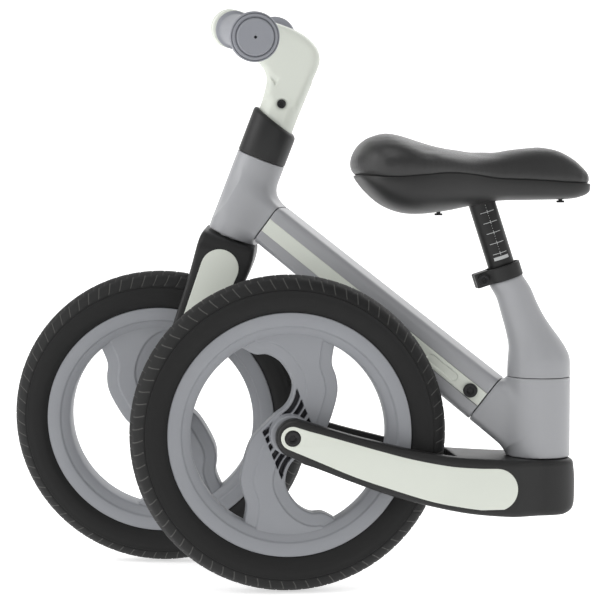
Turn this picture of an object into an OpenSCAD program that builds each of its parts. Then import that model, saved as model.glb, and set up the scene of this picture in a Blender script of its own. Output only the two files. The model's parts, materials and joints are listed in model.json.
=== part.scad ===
// Folding balance bike with two 12 inch wheels, stored folded.
// The origin is on the fold axis, at the flat foot of the rear fork.
// +Z is up, -X is towards the handlebar, -Y is the side that the rear wheel folds to.

/* [Wheels] */
// Radius of each tyre over its tread
tyre_r = 150; // [148:1:152]
// Width of each tyre
tyre_w = 46; // [42:1:47]
// Radius of each rim over its flanges
rim_r = 115; // [113:1:117]
// Width of each rim over its flanges
rim_w = 38; // [34:1:40]
// Radius of each rim's inner wall
rim_in_r = 93; // [91:1:95]
// Half thickness of the two spokes
spoke_half = 11; // [8:1:14]
// Turn of the front wheel on its axle, in degrees
front_spin = -12; // [-180:1:180]

/* [Frame] */
// Height of the foot over the ground
foot_h = 72; // [70:1:74]
// Distance from the fold axis to the steering axis, at axle height
front_reach = 384; // [380:1:390]
// Lean of the steering axis from the vertical, in degrees
head_lean = 22; // [21:0.5:23]
// Radius of the hub around the fold axis
hub_r = 30; // [29:0.5:31]
// Height of the hub
hub_h = 76; // [74:1:78]
// Length of the down tube between its two seams
tube_len = 275; // [272:1:276]
// Width of the down tube
tube_w = 40; // [36:1:40]
// Depth of the down tube at the hub
tube_depth_low = 48; // [46:1:50]
// Depth of the down tube at the head
tube_depth_high = 42; // [40:1:44]
// Slope of the down tube from level, in degrees
tube_slope = 37.6; // [37:0.1:38]

/* [Steering] */
// Turn of the steering, in degrees, left is positive
steer_turn = 15; // [5:1:20]
// Radius of the head tube
head_r = 24.5; // [24:0.5:25]
// Distance from the front axle to the head tube's lower end
head_low = 200; // [198:1:204]
// Length of the head tube
head_len = 83; // [80:1:86]
// Forward offset of the handlebar from the steering axis
bar_ahead = 70; // [66:1:74]
// Distance from the front axle to the handlebar, along the steering axis
bar_up = 391.5; // [385:0.5:400]
// Half width of the handlebar over its grips
bar_half = 190; // [180:1:200]
// Backward sweep of each half of the handlebar, in degrees
bar_sweep = 11; // [8:1:14]

/* [Folding rear] */
// Turn of the rear assembly from the riding position, in degrees
fold_turn = -158; // [-158:1:-150]
// Distance from the fold axis to the rear axle
rear_reach = 241; // [240:1:244]
// Half width of the rear fork over its arms
arm_out = 42; // [41:0.5:43]
// Thickness of each rear arm
arm_t = 14; // [12:1:14]

/* [Seat] */
// Lean of the seat post from the vertical, in degrees
post_lean = 18; // [17:0.5:19]
// Radius of the seat post
post_r = 12.7; // [12.5:0.1:12.7]
// Distance that the seat can be lowered by
seat_drop = 45; // [30:1:45]

/* [Hidden] */
$fn = 72;
run_gap = 0.05;
seam = 0.2;
axle_z = tyre_r - foot_h;
axle_r = 5;
bearing_r = 11;
bearing_w = 7;
bearing_out = 22;
boss_r = 23;
hub_low = 53.5;
hub_top = hub_low + hub_h;
shaft_r = 10;
bush_r = 13;
flange_r = 20;
flange_t = 1.8;
steerer_r = 14;
head_bore_r = 17.5;
blade_in = 28;
blade_out = 40;
bolt_head_r = 7.2;
bolt_head_t = 4;
lock_z = 95;
pin_r = 3;
knob_r = 10;
tube_foot = [-50.3, 106.8];
clamp_low = 106;
clamp_h = 14;
neck_r = 14.6;
post_top = 194;
post_low = 68;
post_pivot_z = 122;

grey = "#9a9ca0";
white = "#d3d6ce";
black = "#353535";
rubber = "#2a2a2a";
steel = "#b4b6b8";
nylon = "#e4e2da";

// A smooth open curve through the points p, with n steps between each pair.
function spline_at(a, b, c, d, t) =
    0.5 * (2 * b + (c - a) * t + (2 * a - 5 * b + 4 * c - d) * t * t
    + (3 * b - a - 3 * c + d) * t * t * t);
function spline(p, n) = [
    for (i = [0 : len(p) - 2])
        for (k = [0 : n - 1])
            spline_at(p[max(i - 1, 0)], p[i], p[i + 1], p[min(i + 2, len(p) - 1)], k / n),
    p[len(p) - 1]];
function arc(r, from, to, n) = [for (k = [0 : n]) r * [cos(from + (to - from) * k / n),
    sin(from + (to - from) * k / n)]];
function turned(p) = [for (i = [len(p) - 1 : -1 : 0]) p[i]];
function mirrored(p) = [for (q = turned(p)) [q[0], -q[1]]];

// The steering frame: Z along the steering axis, X back, from the front axle.
module at_head() {
    translate([-front_reach, 0, axle_z])
        rotate([0, head_lean, 0])
            children();
}
module at_steering() {
    at_head()
        rotate([0, 0, steer_turn])
            children();
}
// The rear assembly's frame: X back to the rear wheel, Y across.
module at_rear() {
    rotate([0, 0, fold_turn])
        children();
}
module at_rear_wheel() {
    at_rear()
        translate([rear_reach, 0, axle_z])
            children();
}
module at_front_wheel() {
    at_steering()
        rotate([0, -head_lean + front_spin, 0])
            children();
}
// The seat post's frame: Z up along the post, from where it crosses the fold axis.
module at_post() {
    at_rear()
        translate([0, 0, post_pivot_z])
            rotate([0, post_lean, 0])
                children();
}
// The down tube's frame: X up along the tube from its lower seam, Y across, Z deep.
module at_tube() {
    translate([tube_foot[0], 0, tube_foot[1]])
        rotate([0, 180 + tube_slope, 0])
            mirror([0, 0, 1])
                children();
}
// A profile drawn in X and Z, extruded from y0 to y1.
module upright(y0, y1) {
    translate([0, y1, 0])
        rotate([90, 0, 0])
            linear_extrude(y1 - y0)
                children();
}
// A cylinder along Y from y0 to y1.
module across(r, y0, y1) {
    translate([0, y0, 0])
        rotate([-90, 0, 0])
            cylinder(r = r, h = y1 - y0);
}
module ring(ro, ri, h) {
    difference() {
        cylinder(r = ro, h = h);
        translate([0, 0, -1])
            cylinder(r = ri, h = h + 2);
    }
}
// A socket head screw along -Z: its head stands on z = 0, its shank goes down.
module socket_screw(head_r, head_t, shank_r, shank_l) {
    difference() {
        union() {
            cylinder(r = head_r, h = head_t);
            translate([0, 0, -shank_l])
                cylinder(r = shank_r, h = shank_l + 1);
        }
        translate([0, 0, head_t / 2])
            cylinder(r = head_r * 0.5, h = head_t, $fn = 6);
    }
}

// ---- Frame ----
// The tapered section of the down tube from x0 to x1, with its depth cut by inset.
module tube_body(x0, x1, inset) {
    taper = (tube_depth_low - tube_depth_high) / tube_len;
    function half(x) = (tube_depth_low - taper * x) / 2 - inset;
    intersection() {
        upright(-tube_w / 2 + inset, tube_w / 2 - inset)
            polygon([[x0, -half(x0)], [x1, -half(x1)], [x1, half(x1)], [x0, half(x0)]]);
        rotate([0, 90, 0])
            translate([0, 0, x0])
                linear_extrude(x1 - x0)
                    rounded_box(tube_depth_low + 2 - 2 * inset, tube_w - 2 * inset, 8 - inset * 0.8);
    }
}
module rounded_box(w, h, r) {
    union() {
        square([w - 2 * r, h], center = true);
        square([w, h - 2 * r], center = true);
        for (x = [-1, 1])
            for (y = [-1, 1])
                translate([x * (w / 2 - r), y * (h / 2 - r)])
                    circle(r = r, $fn = 32);
    }
}
spigot_l = 28;
tube_wall = 3;
inlay_w = 15.5;
inlay_t = 1.6;
inlay_bolt_x = 15;
module spigot(x0, x1) {
    tube_body(x0, x1, tube_wall + seam);
}
module head_tube() {
    color(grey)
        difference() {
            union() {
                at_head()
                    translate([0, 0, head_low])
                        cylinder(r = head_r, h = head_len);
                at_tube()
                    tube_body(tube_len + seam, tube_len + 32, 0);
                at_tube()
                    spigot(tube_len - spigot_l, tube_len + 20);
            }
            at_head()
                translate([0, 0, head_low - 1])
                    cylinder(r = head_bore_r, h = head_len + 2);
            at_head()
                for (z = [head_low - 1, head_low + head_len - flange_t])
                    translate([0, 0, z])
                        cylinder(r = flange_r, h = flange_t + 1);
        }
}
module inlay_bolt_holes(r) {
    at_tube()
        translate([inlay_bolt_x, 0, 0])
            across(r, -tube_w, tube_w);
}
module down_tube() {
    color(grey)
        difference() {
            at_tube()
                difference() {
                    tube_body(0, tube_len, 0);
                    tube_body(-1, tube_len + 1, tube_wall);
                    for (s = [-1, 1])
                        translate([tube_len / 2, s * (tube_w / 2), 0])
                            cube([tube_len + 2, 2 * inlay_t, inlay_w], center = true);
                }
            inlay_bolt_holes(3.1);
        }
}
module tube_inlay(side) {
    color(white)
        difference() {
            at_tube()
                difference() {
                    upright(side > 0 ? tube_w / 2 - inlay_t + 0.01 : -tube_w / 2,
                            side > 0 ? tube_w / 2 : -tube_w / 2 + inlay_t - 0.01)
                        translate([0.3, -inlay_w / 2 + 0.15])
                            square([tube_len - 0.6, inlay_w - 0.3]);
                    translate([48, side * (tube_w / 2 + 0.4), 0])
                        rotate([90, 0, 0])
                            linear_extrude(2, center = true)
                                hull_slot(12, 3.6);
                }
            inlay_bolt_holes(3.2);
        }
}
// A slot outline of the given length between centres and radius.
module hull_slot(l, r) {
    square([l, 2 * r], center = true);
    for (s = [-1, 1])
        translate([s * l / 2, 0])
            circle(r = r);
}
module tube_inlay_left() {
    tube_inlay(-1);
}
module tube_inlay_right() {
    tube_inlay(1);
}
module tube_bolts() {
    color(black)
        at_tube()
            translate([inlay_bolt_x, 0, 0])
                for (s = [-1, 1])
                    rotate([s * -90, 0, 0])
                        translate([0, 0, tube_w / 2 + 0.02])
                            socket_screw(6.8, 3.4, 3, 15);
}
module hub() {
    color(grey)
        difference() {
            union() {
                translate([0, 0, hub_low])
                    cylinder(r = hub_r, h = hub_h);
                at_tube()
                    tube_body(-44, -seam, 0);
                at_tube()
                    spigot(-20, spigot_l);
            }
            translate([0, 0, hub_low - 1])
                cylinder(r = bush_r, h = hub_h + 2);
            for (z = [hub_low - 1, hub_top - flange_t])
                translate([0, 0, z])
                    cylinder(r = flange_r + 2, h = flange_t + 1);
            translate([0, 0, lock_z])
                across(7, 0, hub_r + 5);
            inlay_bolt_holes(3.02);
        }
}
module hub_bushes() {
    color(nylon)
        for (s = [[hub_low, 1], [hub_top, -1]])
            translate([0, 0, s[0]])
                scale_z(s[1])
                    difference() {
                        union() {
                            cylinder(r = bush_r, h = 24);
                            cylinder(r = flange_r + 1.9, h = flange_t);
                        }
                        translate([0, 0, -1])
                            cylinder(r = shaft_r + run_gap, h = 26);
                    }
}
module scale_z(s) {
    mirror([0, 0, s < 0 ? 1 : 0])
        children();
}
module headset_bushes() {
    color(nylon)
        at_head()
            for (s = [[head_low, 1], [head_low + head_len, -1]])
                translate([0, 0, s[0]])
                    scale_z(s[1])
                        difference() {
                            union() {
                                cylinder(r = head_bore_r, h = 16);
                                cylinder(r = flange_r - 0.1, h = flange_t);
                            }
                            translate([0, 0, -1])
                                cylinder(r = steerer_r + run_gap, h = 18);
                        }
}

// ---- Fold lock: a spring plunger across the hub, on the side away from the wheel ----
sleeve_in = 16;
sleeve_out = hub_r + 4;
plunger_head_r = 5;
spring_r = 4.2;
spring_wire = 0.7;
module at_lock() {
    translate([0, 0, lock_z])
        rotate([-90, 0, 0])
            children();
}
module lock_sleeve() {
    color(steel)
        at_lock()
            difference() {
                union() {
                    translate([0, 0, sleeve_in])
                        cylinder(r = 7, h = sleeve_out - sleeve_in);
                    translate([0, 0, hub_r + 0.05])
                        cylinder(r = 9, h = sleeve_out - hub_r, $fn = 6);
                }
                translate([0, 0, sleeve_in - 1])
                    cylinder(r = plunger_head_r + 0.1, h = sleeve_out - sleeve_in - 2);
                translate([0, 0, sleeve_in])
                    cylinder(r = pin_r + run_gap, h = 30);
            }
}
module lock_plunger() {
    color(steel)
        at_lock()
            union() {
                translate([0, 0, shaft_r + 0.3])
                    cylinder(r = pin_r, h = 38);
                translate([0, 0, sleeve_in + 0.3])
                    cylinder(r = plunger_head_r, h = 3);
            }
}
module lock_knob() {
    color(black)
        at_lock()
            translate([0, 0, sleeve_out + 1])
                difference() {
                    union() {
                        cylinder(r = knob_r - 2, h = 15);
                        translate([0, 0, 6])
                            cylinder(r = knob_r, h = 9);
                    }
                    for (a = [0 : 45 : 315])
                        rotate([0, 0, a])
                            translate([knob_r + 2, 0, 5])
                                cylinder(r = 3.2, h = 12, $fn = 24);
                    translate([0, 0, -1])
                        cylinder(r = pin_r, h = 14.3);
                }
}
module lock_spring() {
    color(steel)
        at_lock()
            for (k = [0 : 5])
                translate([0, 0, sleeve_in + 4.2 + k * 2])
                    rotate_extrude($fn = 32)
                        translate([spring_r - 0.2, 0])
                            circle(r = spring_wire / 2, $fn = 16);
}

// ---- Steering ----
// Outline of the fork from the side, from its front edge round the axle to its back edge.
fork_side = concat(
    spline([[-27, head_low - seam], [-28, 188], [-24.5, 150], [-22, 100], [-18, 50], [-15, 12]], 4),
    arc(15, 180, 360, 12),
    spline([[15, 12], [18, 50], [23, 100], [28.5, 150], [30, 180], [27, head_low - seam]], 4));
module fork() {
    color(black)
        at_steering()
            difference() {
                intersection() {
                    upright(-blade_out, blade_out)
                        polygon(fork_side);
                    rotate([0, 0, 90])
                        upright(-60, 60)
                            fork_front();
                }
                across(tyre_r + 4, -blade_in, blade_in);
                translate([0, 0, 120])
                    cylinder(r = steerer_r, h = 100);
                across(axle_r + 0.02, -60, 60);
                for (s = [-1, 1])
                    translate([0, s * (blade_out - inlay_t), 0])
                        upright(s > 0 ? 0 : -5, s > 0 ? 5 : 0)
                            inlay_outline(fork_inlay_top, fork_inlay_waist);
                for (s = [-1, 1])
                    scale_y(s)
                        across(bolt_head_r + 0.3, blade_out - bolt_head_t, 60);
            }
}
// Outline of the fork from the front: square shoulders with round corners.
module fork_front() {
    top = head_low - seam;
    translate([-blade_out, -20])
        square([2 * blade_out, top]);
    translate([-blade_out + 14, 0])
        square([2 * blade_out - 28, top]);
    for (s = [-1, 1])
        translate([s * (blade_out - 20), top - 20])
            circle(r = 20);
}
module scale_y(s) {
    mirror([0, s < 0 ? 1 : 0, 0])
        children();
}
// Outlines of the white inlays: the wide round end, and the edges down to the axle ring.
fork_inlay_top = [1.5, 170, 19];
fork_inlay_waist = [[-17.5, 170], [-15.5, 115], [-13, 60], [-11, 0], [11, 0], [13, 60], [17.5, 115],
    [20.5, 170]];
module inlay_outline(top, edges) {
    intersection() {
        union() {
            translate([top[0], top[1]])
                circle(r = top[2]);
            polygon(edges);
            circle(r = 11.5);
        }
        translate([-60, -60])
            square([120, 400]);
    }
}
module fork_inlay(side) {
    color(white)
        at_steering()
            difference() {
                scale_y(side)
                    upright(blade_out - inlay_t + 0.02, blade_out + 0.02)
                        inlay_outline(fork_inlay_top - [0, 0, 0.2], fork_inlay_waist * 0.995);
                across(bolt_head_r + 0.3, -60, 60);
            }
}
module fork_inlay_left() {
    fork_inlay(-1);
}
module fork_inlay_right() {
    fork_inlay(1);
}
module steerer_tube() {
    color(steel)
        at_steering()
            difference() {
                translate([0, 0, steerer_low])
                    ring(steerer_r, steerer_r - 2.5, steerer_l);
                translate([0, 0, stem_screw_up])
                    across(2.52, -20, 20);
            }
}
collar_top = 322;
module collar() {
    color(black)
        at_steering()
            difference() {
                translate([0, 0, head_low + head_len + seam])
                    cylinder(r = head_r, h = 50);
                translate([0, 0, collar_top])
                    rotate([0, 17, 0])
                        translate([-50, -50, 0])
                            cube([100, 100, 60]);
                translate([0, 0, head_low])
                    cylinder(r = steerer_r + 0.02, h = 200);
                translate([0, 0, collar_top - 20])
                    cylinder(r = 19.6, h = 60);
            }
}
stem_r = 19.5;
stem_half_w = 17;
stem_screw_up = 341;
stem_low = collar_top - 20 + seam;
bar_r = 11;
bar_mid_r = 11.6;
bar_cover_r = 19;
bar_cover_half = 24;
bar_cover_l = 12;
steerer_low = 157;
steerer_l = 210;
module at_bar() {
    translate([-bar_ahead, 0, bar_up])
        children();
}
// One half of the handlebar's frame: Z out along the bar, from the bend.
module at_bar_half(s) {
    at_bar()
        scale_y(s)
            translate([0, bend_y, 0])
                rotate([-90 + 1.5, 0, -bar_sweep])
                    children();
}
bend_y = 20;
bar_l = (bar_half - bend_y) / cos(bar_sweep);
// Outline of the stem from the side: up its back, over the top corner, along to the bar and back.
stem_side = concat(
    [[19, 345], [20.2, 388], [19.1, 394], [14.8, 400.7], [5.8, 406.6], [-7.5, 411]],
    [[-bar_ahead + 4, bar_up + 18], [-bar_ahead + 4, bar_up - 18]],
    [[-44, 371.5], [-35.7, 369.6], [-26.8, 364.7], [-22.5, 358.3], [-20.2, 350], [-19, 345]]);
module stem() {
    color(white)
        at_steering()
            difference() {
                union() {
                    translate([0, 0, stem_low])
                        cylinder(r = stem_r, h = 60);
                    upright(-stem_half_w, stem_half_w)
                        polygon(stem_side);
                    at_bar()
                        across(bar_cover_r, -bar_cover_half, bar_cover_half);
                    for (s = [-1, 1])
                        at_bar_half(s)
                            cylinder(r = bar_cover_r - 1, h = bar_cover_l);
                }
                translate([0, 0, stem_low - 1])
                    cylinder(r = steerer_r + 0.02, h = steerer_low + steerer_l + 1.1 - stem_low);
                at_bar()
                    across(bar_mid_r + 0.02, -bend_y, bend_y);
                for (s = [-1, 1])
                    at_bar()
                        scale_y(s)
                            across(bar_r + 3, bend_y - 0.01, 60);
                translate([0, 0, stem_screw_up])
                    for (s = [-1, 1])
                        scale_y(s)
                            across(4.6, stem_r - 3, 30);
                translate([0, 0, stem_screw_up])
                    across(2.6, -30, 30);
            }
}
module stem_screws() {
    color(black)
        at_steering()
            translate([0, 0, stem_screw_up])
                for (s = [-1, 1])
                    rotate([s * -90, 0, 0])
                        translate([0, 0, stem_r - 2.9])
                            socket_screw(4.3, 3, 2.5, 5);
}
module handlebar() {
    color(steel)
        at_steering()
            difference() {
                union() {
                    at_bar()
                        across(bar_mid_r, -bend_y, bend_y);
                    for (s = [-1, 1])
                        at_bar_half(s)
                            translate([0, 0, -4])
                                cylinder(r = bar_r, h = bar_l - 2);
                }
                for (s = [-1, 1])
                    at_bar_half(s)
                        translate([0, 0, 10])
                            cylinder(r = bar_r - 2, h = bar_l);
            }
}
// A rubber grip, turned about the bar: collar, body with ribs, end flange and end disc.
module grip(s) {
    end = bar_l;
    color(grey)
        at_steering()
            at_bar_half(s)
                difference() {
                    union() {
                        translate([0, 0, bar_cover_l + 0.5])
                            cylinder(r = 18.4, h = 6);
                        translate([0, 0, bar_cover_l + 5])
                            cylinder(r = 15.5, h = end - bar_cover_l - 7);
                        translate([0, 0, end - 12])
                            cylinder(r = 22.2, h = 9);
                        translate([0, 0, end - 5])
                            cylinder(r = 15.6, h = 5);
                    }
                    translate([0, 0, 10])
                        cylinder(r = bar_r + 0.02, h = end - 15.9);
                    translate([0, 0, end - 10])
                        cylinder(r = 1.3, h = 20);
                }
}
module grip_left() {
    grip(-1);
}
module grip_right() {
    grip(1);
}

// ---- Axles, the same at both wheels ----
module axle_rod(half) {
    color(steel)
        difference() {
            across(axle_r, -half, half);
            for (s = [-1, 1])
                scale_y(s)
                    across(3, half - 14, half + 1);
        }
}
module axle_bolts(half, out) {
    color(black)
        for (s = [-1, 1])
            rotate([s * -90, 0, 0])
                translate([0, 0, out - bolt_head_t])
                    difference() {
                        socket_screw(bolt_head_r, bolt_head_t, 2.98, 13);
                        translate([0, 0, bolt_head_t - 1])
                            ring(bolt_head_r + 1, bolt_head_r - 1, 2);
                    }
}
module axle_spacers(inner) {
    color(steel)
        for (s = [-1, 1])
            scale_y(s)
                translate([0, bearing_out + 0.1, 0])
                    rotate([-90, 0, 0])
                        ring(8, axle_r + 0.02, inner - bearing_out - 0.12);
}
module front_axle() {
    at_steering()
        axle_rod(blade_out - bolt_head_t - 0.05);
}
module front_axle_bolts() {
    at_steering()
        axle_bolts(blade_out, blade_out + 0.5);
}
module front_axle_spacers() {
    at_steering()
        axle_spacers(blade_in);
}
module rear_axle() {
    at_rear_wheel()
        axle_rod(arm_out - bolt_head_t - 0.05);
}
module rear_axle_bolts() {
    at_rear_wheel()
        axle_bolts(arm_out, arm_out + 0.5);
}
module rear_axle_spacers() {
    at_rear_wheel()
        axle_spacers(arm_out - arm_t);
}

// ---- Wheels: each is a moulded rim with two S-shaped spokes and a solid tyre ----
// Edge of an opening on the spokes' side, from its upper tip to its lower one.
spoke_edge = spline([[48, 84], [33, 75.5], [20, 75], [7, 66.5], [-3, 50], [-2.5, 37], [3, 26.5],
    [13, 18.5], [24, 8], [35, -4], [42, -22], [46, -40], [44.5, -54], [40.5, -67], [43, -84.5]], 3);
opening = concat(spoke_edge, arc(rim_in_r + 1.5, -62, 59, 24));
seat_r = rim_r - 5;
rim_section = [[rim_in_r, -rim_w / 2 + 7], [rim_in_r + 7, -rim_w / 2], [rim_r, -rim_w / 2],
    [rim_r, -rim_w / 2 + 4], [seat_r, -rim_w / 2 + 7], [seat_r, rim_w / 2 - 7],
    [rim_r, rim_w / 2 - 4], [rim_r, rim_w / 2], [rim_in_r + 7, rim_w / 2],
    [rim_in_r, rim_w / 2 - 7]];
module rim() {
    color(grey)
        difference() {
            union() {
                rotate([90, 0, 0])
                    rotate_extrude($fn = 120)
                        polygon(rim_section);
                upright(-spoke_half, spoke_half)
                    difference() {
                        circle(r = rim_in_r + 3, $fn = 120);
                        polygon(opening);
                        rotate(180)
                            polygon(opening);
                    }
                across(boss_r, -bearing_out - 1, bearing_out + 1);
            }
            for (s = [-1, 1])
                scale_y(s)
                    across(bearing_r, bearing_out - bearing_w, 40);
            across(8, -40, 40);
        }
}
tyre_mid_r = 130;
tyre_section = concat(
    [[seat_r + 0.02, -rim_w / 2 + 7.2], [rim_r + 0.5, -rim_w / 2 + 3.8], [rim_r + 1, -rim_w / 2 + 0.5]],
    spline([[rim_r + 3, -tyre_w / 2 + 3], [tyre_mid_r, -tyre_w / 2], [141, -tyre_w / 2 + 4.5],
        [tyre_r - 3.2, -11.5], [tyre_r, 0], [tyre_r - 3.2, 11.5], [141, tyre_w / 2 - 4.5],
        [tyre_mid_r, tyre_w / 2], [rim_r + 3, tyre_w / 2 - 3]], 3),
    [[rim_r + 1, rim_w / 2 - 0.5], [rim_r + 0.5, rim_w / 2 - 3.8], [seat_r + 0.02, rim_w / 2 - 7.2]]);
module tyre() {
    color(rubber)
        rotate([90, 0, 0])
            rotate_extrude($fn = 120)
                polygon(tyre_section);
}
module bearings() {
    color(steel)
        for (s = [-1, 1])
            scale_y(s)
                translate([0, bearing_out - bearing_w, 0])
                    rotate([-90, 0, 0])
                        difference() {
                            ring(bearing_r, axle_r + run_gap, bearing_w);
                            translate([0, 0, bearing_w - 0.6])
                                ring(9.6, 6.8, 2);
                        }
}
module bearing_sleeve() {
    color(steel)
        translate([0, -bearing_out + bearing_w, 0])
            rotate([-90, 0, 0])
                ring(7.5, axle_r + run_gap, 2 * (bearing_out - bearing_w));
}
module front_rim() {
    at_front_wheel()
        rim();
}
module front_tyre() {
    at_front_wheel()
        tyre();
}
module front_bearings() {
    at_front_wheel()
        bearings();
}
module front_sleeve() {
    at_front_wheel()
        bearing_sleeve();
}
module rear_rim() {
    at_rear_wheel()
        rim();
}
module rear_tyre() {
    at_rear_wheel()
        tyre();
}
module rear_bearings() {
    at_rear_wheel()
        bearings();
}
module rear_sleeve() {
    at_rear_wheel()
        bearing_sleeve();
}

// ---- Folding rear ----
// Outline of the rear fork from the side, in X and Z.
arm_top = spline([[-33, 44], [-28, 53], [0, 53.2], [30, 54], [60, 55.7], [92, 58.3], [130, 65.5], [160, 73],
    [190, 81], [225, 92], [241, 96.5]], 3);
arm_low = spline([[241, 58], [217, 48.5], [182, 34.5], [146, 21.5], [110, 11.5], [74, 4], [40, 0.5],
    [20, 0]], 3);
rear_side = concat(arm_top, [[250, 94], [255, 87], [256, 78], [255, 69], [250, 62]], arm_low,
    [[-22, 0], [-30, 4], [-34, 12], [-35.5, 27]]);
fork_gap_x = 84;
module rear_fork() {
    color(black)
        at_rear()
            difference() {
                intersection() {
                    upright(-arm_out, arm_out)
                        polygon(rear_side);
                    translate([0, 0, -1])
                        linear_extrude(120)
                            rear_plan();
                }
                translate([fork_gap_x, -arm_out + arm_t, -10])
                    cube([200, 2 * (arm_out - arm_t), 150]);
                translate([0, 0, hub_low - seam])
                    cylinder(r = hub_r + 2, h = 30);
                translate([-60, -arm_out - 1, hub_low - seam])
                    cube([70, 2 * arm_out + 2, 30]);
                translate([0, 0, 8])
                    cylinder(r = 4.5, h = 80);
                translate([0, 0, 14])
                    shaft_socket(shaft_r + 0.02, 30);
                translate([0, 0, 43.99])
                    cylinder(r = shaft_r + 0.02, h = 30);
                translate([0, 0, -1])
                    cylinder(r = 8.5, h = 9);
                translate([rear_reach, 0, axle_z])
                    across(axle_r + 0.02, -60, 60);
                for (s = [-1, 1])
                    translate([rear_reach, 0, axle_z])
                        scale_y(s)
                            across(bolt_head_r + 0.3, arm_out - bolt_head_t, 60);
                for (s = [-1, 1])
                    translate([0, s * (arm_out - inlay_t), 0])
                        upright(s > 0 ? 0 : -5, s > 0 ? 5 : 0)
                            arm_inlay_outline(0);
            }
}
// Plan of the rear fork: a round heel under the hub that widens to the two arms.
module rear_plan() {
    heel = 35.5;
    circle(r = heel);
    polygon([[0, -heel], [18, -arm_out + 3], [34, -arm_out], [260, -arm_out], [260, arm_out],
        [34, arm_out], [18, arm_out - 3], [0, heel]]);
}
// Outline of a rear arm's inlay, with its round end under the hub and its ring at the axle.
module arm_inlay_outline(inset) {
    intersection() {
        union() {
            translate([50, 27])
                circle(r = 20.3 - inset);
            polygon(concat(
                spline([[50, 47 - inset], [64, 47.4 - inset], [92, 49.8 - inset], [128, 56.8 - inset],
                    [164, 66.6 - inset], [200, 77 - inset], [241, 88.5 - inset]], 3),
                spline([[241, 67.5 + inset], [217, 55.5 + inset], [182, 40.5 + inset], [146, 28 + inset],
                    [110, 16.6 + inset], [82, 10.8 + inset], [64, 8 + inset], [50, 7 + inset]], 3)));
            translate([rear_reach, axle_z])
                circle(r = 11 - inset);
        }
        translate([20, 0])
            square([280, 120]);
    }
}
module arm_inlay(side) {
    color(white)
        at_rear()
            difference() {
                scale_y(side)
                    upright(arm_out - inlay_t + 0.02, arm_out + 0.02)
                        arm_inlay_outline(0.2);
                translate([rear_reach, 0, axle_z])
                    across(bolt_head_r + 0.3, -60, 60);
            }
}
module arm_inlay_left() {
    arm_inlay(-1);
}
module arm_inlay_right() {
    arm_inlay(1);
}
// A round shaft end with a drive flat, h high.
module shaft_socket(r, h) {
    intersection() {
        cylinder(r = r, h = h);
        translate([-r - 1, -r - 1, 0])
            cube([2 * r - 1, 2 * r + 2, h]);
    }
}
shaft_top = hub_top + 10;
module fold_shaft() {
    color(steel)
        at_rear()
            difference() {
                union() {
                    translate([0, 0, 14.02])
                        shaft_socket(shaft_r, 30);
                    translate([0, 0, 44])
                        cylinder(r = shaft_r, h = hub_top - 44);
                    translate([0, 0, hub_top - 1])
                        shaft_socket(shaft_r, shaft_top - hub_top + 1);
                }
                translate([0, 0, 10])
                    cylinder(r = 4.5, h = 200);
                rotate([0, 0, 90])
                    translate([0, 0, lock_z])
                        rotate([0, 90, 0])
                            cylinder(r = pin_r + 0.2, h = 20);
            }
}
module fold_bolt() {
    color(steel)
        at_rear()
            difference() {
                union() {
                    translate([0, 0, 1])
                        cylinder(r = 7.8, h = 6.98);
                    translate([0, 0, 5])
                        cylinder(r = 4, h = shaft_top - 1);
                }
                cylinder(r = 4, h = 5, $fn = 6);
            }
}
seat_tube_mid = 56;
module seat_tube() {
    base = hub_top + seam;
    color(grey)
        difference() {
            union() {
                hull() {
                    at_rear()
                        translate([0, 0, base])
                            cylinder(r = hub_r, h = 17, $fn = 48);
                    at_post()
                        translate([-0.5, 0, seat_tube_mid])
                            cylinder(r = 20.5, h = 6, $fn = 32);
                }
                hull() {
                    at_post()
                        translate([-0.5, 0, seat_tube_mid])
                            cylinder(r = 20.5, h = 6, $fn = 32);
                    at_post()
                        translate([0, 0, clamp_low - 5])
                            cylinder(r = 16.4, h = 4.8, $fn = 32);
                }
                at_post()
                    translate([0, 0, 60])
                        cylinder(r = neck_r, h = clamp_low + clamp_h - 61);
            }
            at_post()
                translate([0, 0, post_low - seat_drop - 2])
                    cylinder(r = post_r + run_gap, h = 120);
            at_rear()
                translate([0, 0, base - 1])
                    shaft_socket(shaft_r + 0.02, shaft_top - base + 1);
            at_rear()
                translate([0, 0, base - 1])
                    cylinder(r = 4.02, h = 16);
            at_post()
                translate([0, -1.2, clamp_low - 14])
                    cube([40, 2.4, 60]);
        }
}
ear_x = 22;
module seat_clamp() {
    color(black)
        at_post()
            translate([0, 0, clamp_low])
                difference() {
                    union() {
                        cylinder(r = 17.2, h = clamp_h);
                        translate([12, -8.5, 0])
                            cube([17, 17, clamp_h]);
                    }
                    translate([0, 0, -1])
                        cylinder(r = neck_r + 0.02, h = clamp_h + 2);
                    translate([10, -1.2, -1])
                        cube([30, 2.4, clamp_h + 2]);
                    translate([ear_x, 0, clamp_h / 2])
                        across(2.6, -20, 20);
                }
}
module clamp_bolt() {
    color(black)
        at_post()
            translate([ear_x, 8.5, clamp_low + clamp_h / 2])
                rotate([-90, 0, 0])
                    socket_screw(5, 3, 2.5, 21);
}
module clamp_nut() {
    color(steel)
        at_post()
            translate([ear_x, -12.5, clamp_low + clamp_h / 2])
                rotate([-90, 0, 0])
                    difference() {
                        cylinder(r = 5, h = 4, $fn = 6);
                        translate([0, 0, -1])
                            cylinder(r = 2.52, h = 6);
                    }
}

// ---- Seat ----
module seat_post() {
    color(black)
        at_post()
            difference() {
                translate([0, 0, post_low])
                    cylinder(r = post_r, h = post_top - post_low);
                translate([0, 0, post_low - 1])
                    cylinder(r = post_r - 2.2, h = post_top - post_low - 5);
                translate([0, 0, post_top - 10])
                    cylinder(r = 3.02, h = 20);
            }
}
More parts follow.
